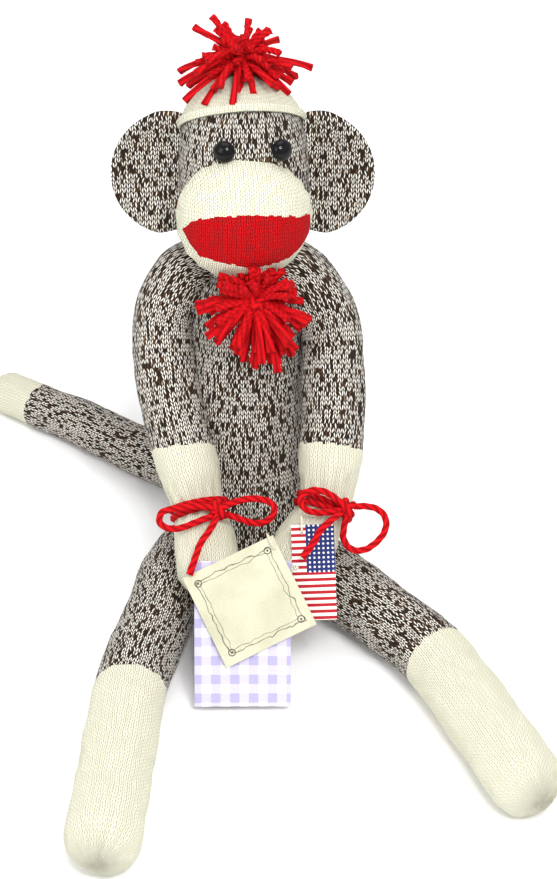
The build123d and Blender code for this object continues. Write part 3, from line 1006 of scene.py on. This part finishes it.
NECK = pivot("neck_nod")
CHIN = NECK + UP * 3 * MM
FACE_TURN = math.radians(8)
FACE = (Matrix.Rotation(FACE_TURN, 3, UP) @ FRONT).normalized()
LEFT = UP.cross(FACE)
SIDES = {"left": 1, "right": -1}


def dress(piece: bpy.types.Object, finish: Finish, material: bpy.types.Material, body: str,
          *nodes: str, padded: bool = False) -> bpy.types.Object:
    """Gives a piece its finish, its body and the CAD nodes that it stands for.

    Args:
        piece: the piece to work on.
        finish: the finish to give.
        material: the piece's material.
        body: CAD body to ride on, or an empty name.
        nodes: CAD nodes that the piece stands for.
        padded: whether the piece is stuffed; not used.

    Returns:
        The same piece.
    """
    finish.dress(piece, material)
    if body:
        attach(piece, body)
    if nodes:
        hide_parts(*nodes)
    return piece


def keep_node(node: str, material: bpy.types.Material) -> None:
    """Shows a CAD node in this material."""
    frame["nodes"][node].data.materials.clear()
    frame["nodes"][node].data.materials.append(material)


@dataclass
class Torso:
    """The stuffed body tube, from the seat to the gathered neck."""

    belly: Vector = field(default_factory=lambda: Vector((0, 0, 30)) * MM)
    reach: float = 160 * MM
    belly_radius: float = 37.5 * MM
    chest_radius: float = 33.0 * MM
    neck_radius: float = 25.0 * MM

    def build(self, marl: bpy.types.Material) -> None:
        """Makes the torso, drawn in at the neck.

        Args:
            marl: the marl knit's material.
        """
        top = self.belly + UP * self.reach
        spine = Spine([self.belly - UP * 30 * MM, self.belly, self.belly + UP * 70 * MM,
                       self.belly + UP * 125 * MM, top],
                      [32 * MM, self.belly_radius, 35.5 * MM, self.chest_radius, self.neck_radius], ACROSS)

        def swell(spot: Vector, turn: float, distance: float, outward: Vector) -> Vector:
            """Uneven stuffing, and puckers where the neck is gathered.

            Args:
                spot: place of a vertex.
                turn: angle round the spine.
                distance: distance along the spine.
                outward: direction away from the spine.

            Returns:
                Its new place.
            """
            near_top = max(0.0, 1 - (spine.length - distance) / (16 * MM))
            pucker = math.cos(turn * 15) * 1.3 * MM * near_top
            return spot + outward * (ripple(spot, 26, 1.6, 3.0) + ripple(spot, 9, 0.6, 5.0) + pucker)

        piece = StuffedForm("torso", spine, around=128, rings=128, start_cap=0.95, end_cap=0.45,
                            shape=swell).build()
        dress(piece, MARL, marl, "torso", "torso_cover", "torso_stuffing", padded=True)


@dataclass
class Neck:
    """The gathered knit between the torso and the head."""

    half_height: float = 15 * MM
    radius: float = 22 * MM

    def build(self, marl: bpy.types.Material) -> None:
        """Makes the neck, puckered all round.

        Args:
            marl: the marl knit's material.
        """
        spine = Spine([NECK - UP * self.half_height, NECK, NECK + UP * self.half_height],
                      [self.radius, self.radius * 0.93, self.radius], ACROSS)

        def pucker(spot: Vector, turn: float, distance: float, outward: Vector) -> Vector:
            """Gathers in the knit."""
            return spot + outward * math.cos(turn * 15) * 0.9 * MM

        piece = StuffedForm("neck_gather", spine, around=120, rings=40, start_cap=0.3, end_cap=0.3,
                            shape=pucker).build()
        dress(piece, MARL, marl, "neck", "neck_ball", padded=True)


@dataclass
class Head:
    """The stuffed head, its cap, muzzle, ears and eyes."""

    radius: float = 37.5 * MM
    brim_height: float = 77 * MM
    brim_tilt: float = 25.0
    hem_half_height: float = 2.5 * MM
    hem_half_thick: float = 1.2 * MM
    muzzle_width: float = 76 * MM
    muzzle_rise: float = 33 * MM
    muzzle_drop: float = 39 * MM
    muzzle_reach: float = 31 * MM
    ear_height: float = 74 * MM
    ear_reach: float = 41 * MM
    ear_root_height: float = 50 * MM
    ear_half_thick: float = 3.6 * MM
    ear_cup: float = 9 * MM
    eye_radius: float = 6.1 * MM
    mouth_top: tuple[tuple[float, float], ...] = (
        (-36, -5), (-31, 1.5), (-22.6, 5), (-9, 6.4), (3, 6.2), (16, 5), (27, 3), (36, 1.5))
    mouth_bottom: tuple[tuple[float, float], ...] = (
        (-36, -5), (-31.7, -13.2), (-25.4, -19.6), (-11.3, -22.4), (3.8, -24.5), (19, -23.1), (27.2, -19.7),
        (36, -12))

    def spine(self) -> Spine:
        """Line through the head.

        Returns:
            The line.
        """
        rise = (0, 22, 52, 78, 106)
        wide = (27, 35.5, 37.2, 33.6, 25)
        return Spine([CHIN + UP * r * MM for r in rise], [w * MM for w in wide], LEFT)

    def build(self, marl: bpy.types.Material, cream: bpy.types.Material, muzzle_knit: bpy.types.Material,
              eye: bpy.types.Material, washer: bpy.types.Material) -> None:
        """Makes every piece of the head.

        Args:
            marl: the marl knit's material.
            cream: the cream knit's material.
            muzzle_knit: the muzzle knit's material.
            eye: the eyes' material.
            washer: the washers' material.
        """
        self.skull(marl)
        self.muzzle(muzzle_knit)
        self.cap(cream)
        for side in SIDES:
            self.ear(side, marl)
            self.eye(side, eye)
            keep_node(f"{side}_eye_washer", washer)

    def skull(self, marl: bpy.types.Material) -> None:
        """The head's ball of knit, gathered into the neck.

        Args:
            marl: the marl knit's material.
        """
        spine = self.spine()

        def swell(spot: Vector, turn: float, distance: float, outward: Vector) -> Vector:
            """Cheeks and stuffing, with puckers at the neck.

            Args:
                spot: place of a vertex.
                turn: angle round the spine.
                distance: distance along the spine.
                outward: direction away from the spine.

            Returns:
                Its new place.
            """
            near_neck = max(0.0, 1 - distance / (18 * MM))
            pucker = math.cos(turn * 15) * 1.1 * MM * near_neck
            return spot + outward * (ripple(spot, 30, 1.5, 1.0) + ripple(spot, 10, 0.5, 2.0) + pucker)

        piece = StuffedForm("head", spine, around=128, rings=112, start_cap=0.5, end_cap=0.9,
                            shape=swell).build()
        dress(piece, MARL, marl, "head", "head_cover", "head_stuffing", padded=True)

    def muzzle(self, knit: bpy.types.Material) -> None:
        """The sock's heel: a pale dome sewn to the face, with the red mouth knitted into it.

        Args:
            knit: the muzzle knit's material.
        """
        centre = CHIN + Vector((0.7, -14.8, 40.66)) * MM
        clear_selection()
        bpy.ops.mesh.primitive_uv_sphere_add(segments=144, ring_count=96, radius=1.0)
        piece = bpy.context.object
        half = self.muzzle_width / 2
        across, along, params = {}, {}, []
        for vertex in piece.data.vertices:
            x, y, z = vertex.co.x, vertex.co.z, -vertex.co.y
            high_half = self.muzzle_rise if y > 0 else self.muzzle_drop
            depth = self.muzzle_reach if z > 0 else 10 * MM
            blunt = 1 - 0.10 * (x * x + y * y) ** 2
            dome = FACE * z * depth / max(blunt, 0.9)
            spot = centre + LEFT * x * half + UP * y * high_half * (1 - 0.04 * x * x) + dome
            chin_tuck = max(0.0, -y - 0.5) * 6 * MM
            spot -= FACE * chin_tuck
            spot += (LEFT * x + UP * y + FACE * z) * (ripple(spot, 16, 0.9, 8.0) + ripple(spot, 6, 0.3, 9.0))
            edge = math.exp(-((z - 0.08) / 0.12) ** 2)
            if edge > 0.02:
                sewn = math.cos(math.atan2(y, x) * 22) * 0.5 * MM
                spot += (LEFT * x + UP * y).normalized() * edge * sewn
            vertex.co = spot
            across[vertex.index] = math.asin(max(-1, min(1, x))) * half * 0.93
            along[vertex.index] = math.asin(max(-1, min(1, y))) * high_half * 0.93
            params.append((x * half / MM, y * high_half / MM))
        gauge = FINE_GAUGE
        layer = piece.data.uv_layers.active
        layer.name = "knit"
        for loop in piece.data.loops:
            layer.data[loop.index].uv = (across[loop.vertex_index] / MM / gauge.wale_mm,
                                         along[loop.vertex_index] / MM / gauge.course_mm)
        set_attribute(piece, "cream_mm", lambda *_: INSIDE_MM, params)
        set_attribute(piece, "red_mm", lambda spot, x, y: self.inside_mouth(x, y), params)
        finish_mesh(piece, "muzzle")
        dress(piece, MUZZLE, knit, "head", "muzzle_cover", "muzzle_stuffing", padded=True)

    def inside_mouth(self, x_mm: float, y_mm: float) -> float:
        """How far inside the mouth's outline a point is, in millimetres.

        Args:
            x_mm: distance towards the toy's left of the muzzle's middle.
            y_mm: distance up from the muzzle's middle.

        Returns:
            The distance, negative outside.
        """
        def edge(table: tuple[tuple[float, float], ...]) -> float:
            """Height of an edge at x.

            Args:
                table: corners of the edge, in order of x.

            Returns:
                The edge's height at x.
            """
            for (x0, y0), (x1, y1) in zip(table, table[1:]):
                if x_mm <= x1:
                    t = max(0.0, (x_mm - x0) / (x1 - x0))
                    return y0 + (y1 - y0) * t
            return table[-1][1]
        return min(edge(self.mouth_top) - y_mm, y_mm - edge(self.mouth_bottom), 36.0 - abs(x_mm))

    def cap(self, cream: bpy.types.Material) -> None:
        """The sock's pale toe over the top of the head, with its rolled hem.

        Args:
            cream: the cream knit's material.
        """
        spine = self.spine()
        tilt = math.radians(self.brim_tilt)
        foot, level = CHIN + UP * self.brim_height, UP * math.cos(tilt) - FRONT * math.sin(tilt)
        level = (Matrix.Rotation(math.radians(4), 3, FRONT) @ level).normalized()

        def swell(spot: Vector, turn: float, distance: float, outward: Vector) -> Vector:
            """Sits over the head, with soft unevenness."""
            return spot + outward * (1.6 * MM + ripple(spot, 30, 1.5, 1.0) + ripple(spot, 8, 0.3, 6.0))

        piece = StuffedForm("cap", spine, around=120, rings=112, start_cap=0.5, end_cap=0.9,
                            gauge=FINE_GAUGE, shape=swell, cream_from=lambda *_: INSIDE_MM).build()
        choose(piece)
        bpy.ops.object.mode_set(mode="EDIT")
        bpy.ops.mesh.select_all(action="SELECT")
        bpy.ops.mesh.bisect(plane_co=foot, plane_no=level, clear_inner=True)
        bpy.ops.object.mode_set(mode="OBJECT")
        dress(piece, CREAM, cream, "head", "cap")
        dress(self.hem(spine, foot, level), CREAM, cream, "head")

    def hem(self, spine: Spine, foot: Vector, level: Vector) -> bpy.types.Object:
        """The cap's rolled hem, which follows the head where the brim's plane meets it.

        Args:
            spine: line through the head.
            foot: a point in the brim's plane.
            level: the plane's normal, upwards.

        Returns:
            The piece.
        """
        around, section = 168, 14
        points, outs = [], []
        for k in range(around):
            turn = 2 * math.pi * k / around
            low, high = 40 * MM, spine.length
            for _ in range(24):
                half = (low + high) / 2
                place, way, side, radius = spine.at(half)
                outward = side * math.cos(turn) + way.cross(side) * math.sin(turn)
                spot = place + outward * (radius + 1.6 * MM + ripple(place + outward * radius, 30, 1.5, 1.0))
                low, high = (half, high) if (spot - foot).dot(level) < 0 else (low, half)
            points.append(spot + level * self.hem_half_height)
            outs.append(outward)
        vertices, faces, uvs = [], [], []
        for k in range(around):
            for i in range(section):
                angle = 2 * math.pi * i / section
                lump = 1 + 0.06 * noise.noise(points[k] / (5 * MM))
                vertices.append(points[k] + outs[k] * math.cos(angle) * self.hem_half_thick * lump
                                + level * math.sin(angle) * self.hem_half_height * lump)
        for k in range(around):
            for i in range(section):
                after, up = (k + 1) % around, (i + 1) % section
                faces.append((k * section + i, after * section + i, after * section + up, k * section + up))
                uvs += [(a * 0.5, b * 0.55) for a, b in ((k, i), (k + 1, i), (k + 1, i + 1), (k, i + 1))]
        mesh = bpy.data.meshes.new("cap_hem")
        mesh.from_pydata(vertices, [], faces)
        layer = mesh.uv_layers.new(name="knit")
        for entry, uv in zip(layer.data, uvs):
            entry.uv = uv
        for name, value in (("cream_mm", INSIDE_MM), ("red_mm", OUTSIDE_MM)):
            attribute = mesh.attributes.new(name, "FLOAT", "POINT")
            attribute.data.foreach_set("value", [value] * len(vertices))
        piece = bpy.data.objects.new("cap_hem", mesh)
        bpy.context.scene.collection.objects.link(piece)
        return finish_mesh(piece, "cap_hem")

    def ear(self, side: str, marl: bpy.types.Material) -> None:
        """One cupped ear: half an oval, thick at its rim and folded in at the head.

        Args:
            side: left or right.
            marl: the marl knit's material.
        """
        sign = SIDES[side]
        root = CHIN + UP * self.ear_root_height + Vector((sign * 33.5 * MM, 0, 0))
        clear_selection()
        bpy.ops.mesh.primitive_uv_sphere_add(segments=112, ring_count=56, radius=1.0)
        piece = bpy.context.object
        planar, params, gauge = {}, [], KnitGauge()
        middle_share = 0.44
        for vertex in piece.data.vertices:
            x, y, z = vertex.co
            reach = min(1.0, math.hypot(x, y))
            disc = math.asin(reach) / (math.pi / 2)
            angle = math.degrees(math.atan2(y, x))
            if abs(angle) <= 118:
                along = math.radians(angle * 90 / 118)
                edge = Vector((math.cos(along) ** 0.9, math.sin(along), 0))
            else:
                share = (180 - abs(angle)) / 62
                edge = Vector((0, math.copysign(share, angle), 0))
            flat = edge * disc + Vector((middle_share, 0, 0)) * (1 - disc)
            rim = disc ** 2
            out = flat.x * self.ear_reach
            up = flat.y * self.ear_height / 2 * (1 - 0.10 * max(0.0, 0.35 - flat.x) / 0.35)
            rounded = math.sqrt(max(0.0, 1 - disc ** 7)) * math.copysign(1, z)
            thick = self.ear_half_thick * (0.78 + 0.42 * rim) * rounded
            if abs(z) < 1e-4:
                thick = 0.0
            cup = self.ear_cup * (min(1.0, disc) ** 2.4 * (0.35 + 0.65 * min(1, flat.x * 1.8)) - 0.5)
            fold = -5 * MM * math.exp(-((flat.x - 0.16) / 0.14) ** 2) * math.exp(-(flat.y / 0.75) ** 2)
            crease = 0.6 * MM * math.cos(flat.y * 16) * math.exp(-(flat.x / 0.22) ** 2)
            spot = root + ACROSS * sign * out + UP * up + FRONT * (cup + fold + crease + thick)
            spot += FRONT * ripple(spot, 17, 1.2, 11.0 + sign)
            vertex.co = spot
            planar[vertex.index] = (out / MM / gauge.wale_mm, up / MM / gauge.course_mm)
            params.append((0.0, 0.0))
        layer = piece.data.uv_layers.active
        layer.name = "knit"
        for loop in piece.data.loops:
            layer.data[loop.index].uv = planar[loop.vertex_index]
        set_attribute(piece, "cream_mm", lambda *_: OUTSIDE_MM, params)
        set_attribute(piece, "red_mm", lambda *_: OUTSIDE_MM, params)
        finish_mesh(piece, f"{side}_ear")
        dress(piece, MARL, marl, f"{side}_ear", f"{side}_ear_cover", f"{side}_ear_stuffing", padded=True)

    def eye(self, side: str, plastic: bpy.types.Material) -> None:
        """One domed, polished eye.

        Args:
            side: left or right.
            plastic: the eyes' material.
        """
        centre = middle(f"{side}_eye") + Vector((1.6, -0.6, 1.6)) * MM
        way = (centre - (CHIN + UP * (centre - CHIN).dot(UP))).normalized()
        way = (way + UP * 0.12).normalized()
        clear_selection()
        facing = way.to_track_quat("Z", "Y").to_euler()
        bpy.ops.mesh.primitive_uv_sphere_add(segments=64, ring_count=32, radius=self.eye_radius,
                                             location=centre, rotation=facing)
        piece = bpy.context.object
        choose(piece)
        bpy.ops.object.transform_apply(location=True, rotation=True, scale=True)
        for vertex in piece.data.vertices:
            off = vertex.co - centre
            vertex.co = centre + off - way * off.dot(way) * 0.25
        finish_mesh(piece, f"{side}_eye_dome")
        dress(piece, EYE, plastic, "head", f"{side}_eye")


@dataclass
class Limb:
    """An arm, leg or tail: a knitted tube that starts inside the torso."""

    name: str
    body: str
    nodes: tuple[str, ...]
    points_mm: tuple[tuple[float, float, float], ...]
    radii_mm: tuple[float, ...]
    blend_mm: tuple[tuple[float, float, float], tuple[float, float, float]]
    cream_at_mm: tuple[float, float, float]
    cream_way: tuple[float, float, float]
    seed: float
    tie_mm: Optional[tuple[float, float, float]] = None
    end_cap: float = 1.0
    ripple_mm: float = 1.3

    def build(self, marl: bpy.types.Material) -> None:
        """Makes the limb.

        Args:
            marl: the marl knit's material.
        """
        points = [Vector(p) * MM for p in self.points_mm]
        spine = Spine(points, [r * MM for r in self.radii_mm], Vector((0.2, 0.9, 0.4)))
        tie = Vector(self.tie_mm) * MM if self.tie_mm else None
        edge, way = Vector(self.cream_at_mm) * MM, Vector(self.cream_way).normalized()

        def swell(spot: Vector, turn: float, distance: float, outward: Vector) -> Vector:
            """Uneven stuffing, and puckers beside the tie.

            Args:
                spot: place of a vertex.
                turn: angle round the spine.
                distance: distance along the spine.
                outward: direction away from the spine.

            Returns:
                Its new place.
            """
            depth = ripple(spot, 22, self.ripple_mm, self.seed)
            depth += ripple(spot, 8, self.ripple_mm * 0.4, self.seed + 3)
            if tie is not None:
                near = math.exp(-(((spine.at(distance)[0] - tie).length) / (11 * MM)) ** 2)
                depth += near * math.cos(turn * 12) * 1.1 * MM
            return spot + outward * depth

        form = StuffedForm(self.name, spine, around=96, rings=128, end_cap=self.end_cap, shape=swell,
                           cream_from=lambda spot, *_: (spot - edge).dot(way) / MM)
        piece = form.build()
        dress(piece, MARL, marl, "", *self.nodes, padded=True)
        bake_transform(piece)


WRISTS_MM = {"left": (46, -38, 76), "right": (-25, -38, 75)}
HAND_TIPS_MM = {"left": (29, -66, 57), "right": (-20, -69, 56)}
ARM_BENDS_MM = {"left": ((49.5, 35, 152), (51.5, 6, 121), (49.5, -20, 94)),
                "right": ((-46, 35, 152), (-42, 6, 121), (-31.5, -22, 92))}


def limbs() -> list[Limb]:
    """The arms, legs and tail.

    Returns:
        Every limb.
    """
    made = []
    for side, sign in SIDES.items():
        wrist, tip = WRISTS_MM[side], HAND_TIPS_MM[side]
        palm = tuple(w * 0.55 + t * 0.45 for w, t in zip(wrist, tip))
        end = tuple(t + (t - w) * 0.42 for w, t in zip(wrist, tip))
        made.append(Limb(
            f"{side}_arm_tube", f"{side}_arm", (f"{side}_arm_cover", f"{side}_arm_stuffing"),
            ((sign * 8, 56, 171), (sign * 22, 55, 179), (sign * 36, 50, 173), *ARM_BENDS_MM[side],
             wrist, palm, tip, end),
            (13, 16, 17.5, 18, 18, 17.8, 13.6, 17.2, 18, 16.5),
            ((sign * 8, 53, 168), (sign * 42, 46, 162)),
            (wrist[0] + sign * 3, -14.0, 101.0), (-sign * 0.1, -0.72, -0.69), 5.0 + sign * 2, tie_mm=wrist))
    made.append(Limb(
        "left_leg_tube", "left_leg", ("left_leg_cover", "left_leg_stuffing"),
        ((10, 4, 24), (34, -20, 21), (66, -54, 20.5), (104, -96, 20.3), (130, -146, 20.3), (153, -196, 20.4),
         (161, -212, 20.2)),
        (16, 20, 20.3, 20.3, 20.2, 20.8, 19.5), ((8, 4, 22), (38, -24, 20)),
        (112, -101, 20), (0.55, -0.83, 0), 21.0))
    made.append(Limb(
        "right_leg_tube", "right_leg", ("right_leg_cover", "right_leg_stuffing"),
        ((-10, 4, 24), (-34, -20, 21), (-49, -70, 20.5), (-61, -118, 20.3), (-67, -178, 20.3),
         (-72, -238, 20.4), (-74, -255, 20.2)),
        (16, 20, 20.3, 20.3, 20.4, 20.8, 19.5), ((-8, 4, 22), (-38, -26, 20)),
        (-66, -130, 20), (-0.05, -1, 0.1), 27.0))
    made.append(Limb(
        "tail_tube", "tail", ("tail_cover", "tail_stuffing"),
        ((2, 34, 19), (-16, 48, 17.3), (-60, 79, 16), (-105, 112, 14.5), (-153.8, 144.2, 13.4),
         (-163, 150, 13.2)),
        (13, 17, 16, 14.5, 13.4, 12.8), ((2, 34, 18), (-24, 53, 17)),
        (-134, 131, 14), (-0.82, 0.57, 0), 33.0, ripple_mm=1.0))
    return made


@dataclass
class WristTie:
    """Two turns of yarn that draw the wrist in, and the knot on them."""

    side: str
    wrist_mm: tuple[float, float, float]
    way_mm: tuple[float, float, float]
    ring_radius: float = 15.8 * MM
    yarn_radius: float = 1.9 * MM

    def build(self, yarn: bpy.types.Material) -> None:
        """Makes the turns and the knot.

        Args:
            yarn: the yarn's material.
        """
        centre, axis = Vector(self.wrist_mm) * MM, Vector(self.way_mm).normalized()
        side = (ACROSS - axis * ACROSS.dot(axis)).normalized()
        other = axis.cross(side)
        strand = YarnStrand(self.yarn_radius, lobe=0.08, pitch=10 * MM)
        turns = []
        for offset, tilt in ((-1.7, 0.05), (1.7, -0.04)):
            ring = []
            for k in range(96):
                angle = 2 * math.pi * k / 96
                sway = math.sin(angle + tilt * 20) * 0.8 * MM
                ring.append(centre + axis * (offset * MM + sway)
                            + (side * math.cos(angle) + other * math.sin(angle)) * self.ring_radius)
            turns.append(strand.tube(ring, tilt * 30, closed=True))
        piece = yarn_piece(f"{self.side}_wrist_turns", turns)
        dress(piece, YARN, yarn, f"{self.side}_arm", f"{self.side}_wrist_tie")
        self.knot(yarn)

    def knot(self, yarn: bpy.types.Material) -> None:
        """The bow's knot: yarn crossed over itself.

        Args:
            yarn: the yarn's material.
        """
        centre = middle(f"{self.side}_bow_knot")
        strand = YarnStrand(2.1 * MM, lobe=0.08, pitch=10 * MM)
        turns = []
        for lift, tilt in ((0.0, 0.5), (1.2, -0.9), (-0.8, 1.7)):
            axis = ACROSS * math.cos(tilt) + BOW_UP * math.sin(tilt)
            ring = []
            for k in range(28):
                angle = 2 * math.pi * k / 28
                ring.append(centre + axis * math.cos(angle) * 4.2 * MM
                            + BOW_OUT * (math.sin(angle) * 3.6 * MM + lift * MM))
            turns.append(strand.tube(ring, tilt, closed=True))
        piece = yarn_piece(f"{self.side}_bow_centre", turns)
        dress(piece, YARN, yarn, f"{self.side}_arm", f"{self.side}_bow_knot")


@dataclass
class BowYarn:
    """One loop or tail of a bow, along its own route from the knot."""

    node: str
    route_mm: tuple[tuple[float, float, float], ...]
    diameter: float = 4.5 * MM
    drawn_share: float = 0.84    # share of the diameter that the plies are drawn at

    def build(self, yarn: bpy.types.Material) -> None:
        """Args:
            yarn: the yarn's material.
        """
        side = self.node.split("_")[0]
        knot = middle(f"{side}_bow_knot")
        route = [knot + ACROSS * x * MM + BOW_UP * y * MM + BOW_OUT * z * MM for x, y, z in self.route_mm]
        points = spline_points(route)
        strand = YarnStrand(self.diameter / 2 * self.drawn_share, lobe=0.07, pitch=12 * MM,
                            flare=0.12 if self.node.endswith("tail") else 0.0)
        piece = yarn_piece(self.node + "_yarn", [strand.tube(points)])
        dress(piece, YARN, yarn, f"{side}_arm", self.node)


BOWS = (
    BowYarn("right_bow_loop_a", ((-3, 1, 3), (-12, 2.5, 6), (-24, 1, 6), (-33.5, -1, 4), (-34, -9, 3),
                                 (-24, -11.5, 5), (-12, -6.5, 6), (-4, -3.5, 3))),
    BowYarn("right_bow_loop_b", ((3, 2, 1), (12, 6, 3), (23, 6.5, 4), (31.5, 3, 4), (30, -5, 3),
                                 (21, -8.5, 2), (11, -5, 1), (3.5, -2.5, 0))),
    BowYarn("right_bow_tail", ((-1, -3, 4), (-4, -10, 8), (-10.5, -18, 11), (-13, -26, 13),
                               (-16.5, -36, 14))),
    BowYarn("left_bow_loop_a", ((-3, 3, 3), (-9, 8.5, 6), (-18, 11, 7), (-26, 8, 7), (-25.5, 0.5, 7),
                                (-18, -2.5, 7), (-9, -2, 6), (-3, -1, 3))),
    BowYarn("left_bow_loop_b", ((4, 1, 1), (14, 2, 2), (22.5, -4, 3), (22, -14, 3), (12, -23.5, 2),
                                (2.5, -24, 1), (-2.5, -17, 1), (-1, -8.5, 1), (0, -3, 1))),
    BowYarn("left_bow_tail", ((-3, -2, 4), (-9, -6.5, 11), (-15.5, -12, 14), (-19, -20, 14),
                              (-25, -27, 13.5))),
)


@dataclass
class HangCard:
    """A printed card, very slightly bowed, that hangs in front of the hands."""

    node: str
    finish: PrintedCard
    body: str
    centre_mm: tuple[float, float, float]
    turn: float
    bow_mm: float
    thick: float = 0.7 * MM
    up: Vector = field(default_factory=lambda: Vector((0, 0.5736, 0.8192)))
    front: Vector = field(default_factory=lambda: Vector((0, -0.8192, 0.5736)))

    def build(self, printed: bpy.types.Material, thread: bpy.types.Material) -> None:
        """Makes the card from a grid, thickened, and dresses its thread.

        Args:
            printed: the card's material.
            thread: the threads' material.
        """
        clear_selection()
        bpy.ops.mesh.primitive_grid_add(x_subdivisions=48, y_subdivisions=48, size=1.0)
        piece = bpy.context.object
        turn = math.radians(self.turn)
        across = ACROSS * math.cos(turn) + self.up * math.sin(turn)
        along = self.up * math.cos(turn) - ACROSS * math.sin(turn)
        width, height = self.finish.width_mm * MM, self.finish.height_mm * MM
        layer = piece.data.uv_layers.active
        layer.name = "card"
        for entry in layer.data:
            entry.uv = ((entry.uv.x - 0.5) * width / MM, (entry.uv.y - 0.5) * height / MM)
        for vertex in piece.data.vertices:
            x, y = vertex.co.x, vertex.co.y
            lift = self.bow_mm * MM * (4 * x * y * 0.6 + 2 * x * x)
            vertex.co = (Vector(self.centre_mm) * MM + across * x * width + along * y * height
                         + self.front * (lift + self.thick))
        solid = piece.modifiers.new("thickness", "SOLIDIFY")
        solid.thickness = self.thick
        solid.offset = 0
        choose(piece)
        bpy.ops.object.modifier_apply(modifier=solid.name)
        piece.name = piece.data.name = self.node + "_print"
        bpy.ops.object.shade_smooth_by_angle(angle=math.radians(40))
        dress(piece, self.finish, printed, self.body, self.node)
        keep_node(self.node + "_thread", thread)


CARDS = (
    HangCard("gingham_card", GINGHAM, "hang_cards", (0.0, -103.27, 39.31), 0.0, 0.8),
    HangCard("square_card", PARCHMENT, "hang_cards", (4.0, -94.27, 55.99), 26.0, 1.6),
    HangCard("striped_label", LABEL, "left_arm", (40.0, -80.63, 65.36), 2.0, -0.6),
)


@dataclass
class Studio:
    """Camera, soft lights and the pale sweep."""

    camera_at: tuple[float, float, float] = (0.0201, -1.1025, 1.0199)
    pitch: float = 50.0
    lens_mm: float = 102.0

    def build(self, floor: bpy.types.Material) -> None:
        """Sets the studio up.

        Args:
            floor: the sweep's material.
        """
        scene = bpy.context.scene
        scene.view_settings.view_transform = "Standard"
        camera = bpy.data.cameras.new("camera")
        camera.lens = self.lens_mm
        camera.sensor_width = 36.0
        holder = bpy.data.objects.new("camera", camera)
        holder.location = self.camera_at
        holder.rotation_euler = (math.radians(self.pitch), 0, 0)
        scene.collection.objects.link(holder)
        scene.camera = holder
        clear_selection()
        bpy.ops.mesh.primitive_plane_add(size=8.0, location=(0, 0, 0))
        sweep = bpy.context.object
        sweep.name = "sweep"
        sweep.data.materials.append(floor)
        self.lamp("key", (0.35, -0.9, 1.5), (0, -0.02, 0.12), 0.6, 17.0)
        self.lamp("fill", (-0.9, -0.7, 0.9), (0, 0, 0.12), 0.8, 5.0)
        self.lamp("top", (0.0, 0.5, 1.5), (0, 0, 0.12), 1.2, 8.0)
        self.lamp("glint", (0.5, -1.2, 1.4), (0, 0.05, 0.25), 0.08, 3.0)
        self.lamp("second glint", (0.1, -1.2, 1.7), (0, 0.05, 0.25), 0.08, 3.0)
        world = bpy.data.worlds.new("studio")
        scene.world = world
        world.use_nodes = True
        background = world.node_tree.nodes["Background"]
        background.inputs["Color"].default_value = (1, 1, 1, 1)
        background.inputs["Strength"].default_value = 0.7

    def lamp(self, name: str, at: tuple[float, ...], aim: tuple[float, ...], size: float,
             watts: float) -> None:
        """One soft square light.

        Args:
            name: the light's name.
            at: the light's place.
            aim: the point that it faces.
            size: width of the light.
            watts: the light's power.
        """
        light = bpy.data.lights.new(name, "AREA")
        light.size = size
        light.energy = watts
        holder = bpy.data.objects.new(name, light)
        holder.location = at
        holder.rotation_euler = (Vector(aim) - Vector(at)).to_track_quat("-Z", "Y").to_euler()
        bpy.context.scene.collection.objects.link(holder)


def main() -> None:
    """Builds everything in order."""
    marl, cream, muzzle_knit = MARL.build(), CREAM.build(), MUZZLE.build()
    yarn, eye, thread, washer = (f.build() for f in (YARN, EYE, THREAD, WASHER))
    Studio().build(FLOOR.build())
    for bow in BOWS:
        bow.build(yarn)
    LOG.info("bows")
    Torso().build(marl)
    Neck().build(marl)
    LOG.info("torso and neck")
    Head().build(marl, cream, muzzle_knit, eye, washer)
    LOG.info("head")
    for limb in limbs():
        limb.build(marl)
        LOG.info(limb.name)
    WristTie("left", WRISTS_MM["left"], (-0.36, -0.74, -0.57)).build(yarn)
    WristTie("right", WRISTS_MM["right"], (0.22, -0.77, -0.6)).build(yarn)
    Pompom("hat_tuft", "head", ("hat_pompom", "hat_pompom_knot"), middle("hat_pompom") - UP * 12 * MM, UP,
           33 * MM, 96, 0.12, 0.32, 7, spread=(0.4, 1.1), strand_radius=1.75 * MM).build(yarn)
    Pompom("neck_tuft", "torso", ("neck_pompom", "neck_pompom_knot"),
           middle("neck_pompom") + UP * 15 * MM, FRONT, 30 * MM, 88, 0.7, 0.2, 11, sag=0.06,
           spread=(0.72, 1.05), strand_radius=1.95 * MM,
           knot=True).build(yarn)
    LOG.info("pompoms")
    for card in CARDS:
        card.build(card.finish.build(), thread)
    keep_node("neck_thread", thread)


if __name__ == "__main__":
    main()
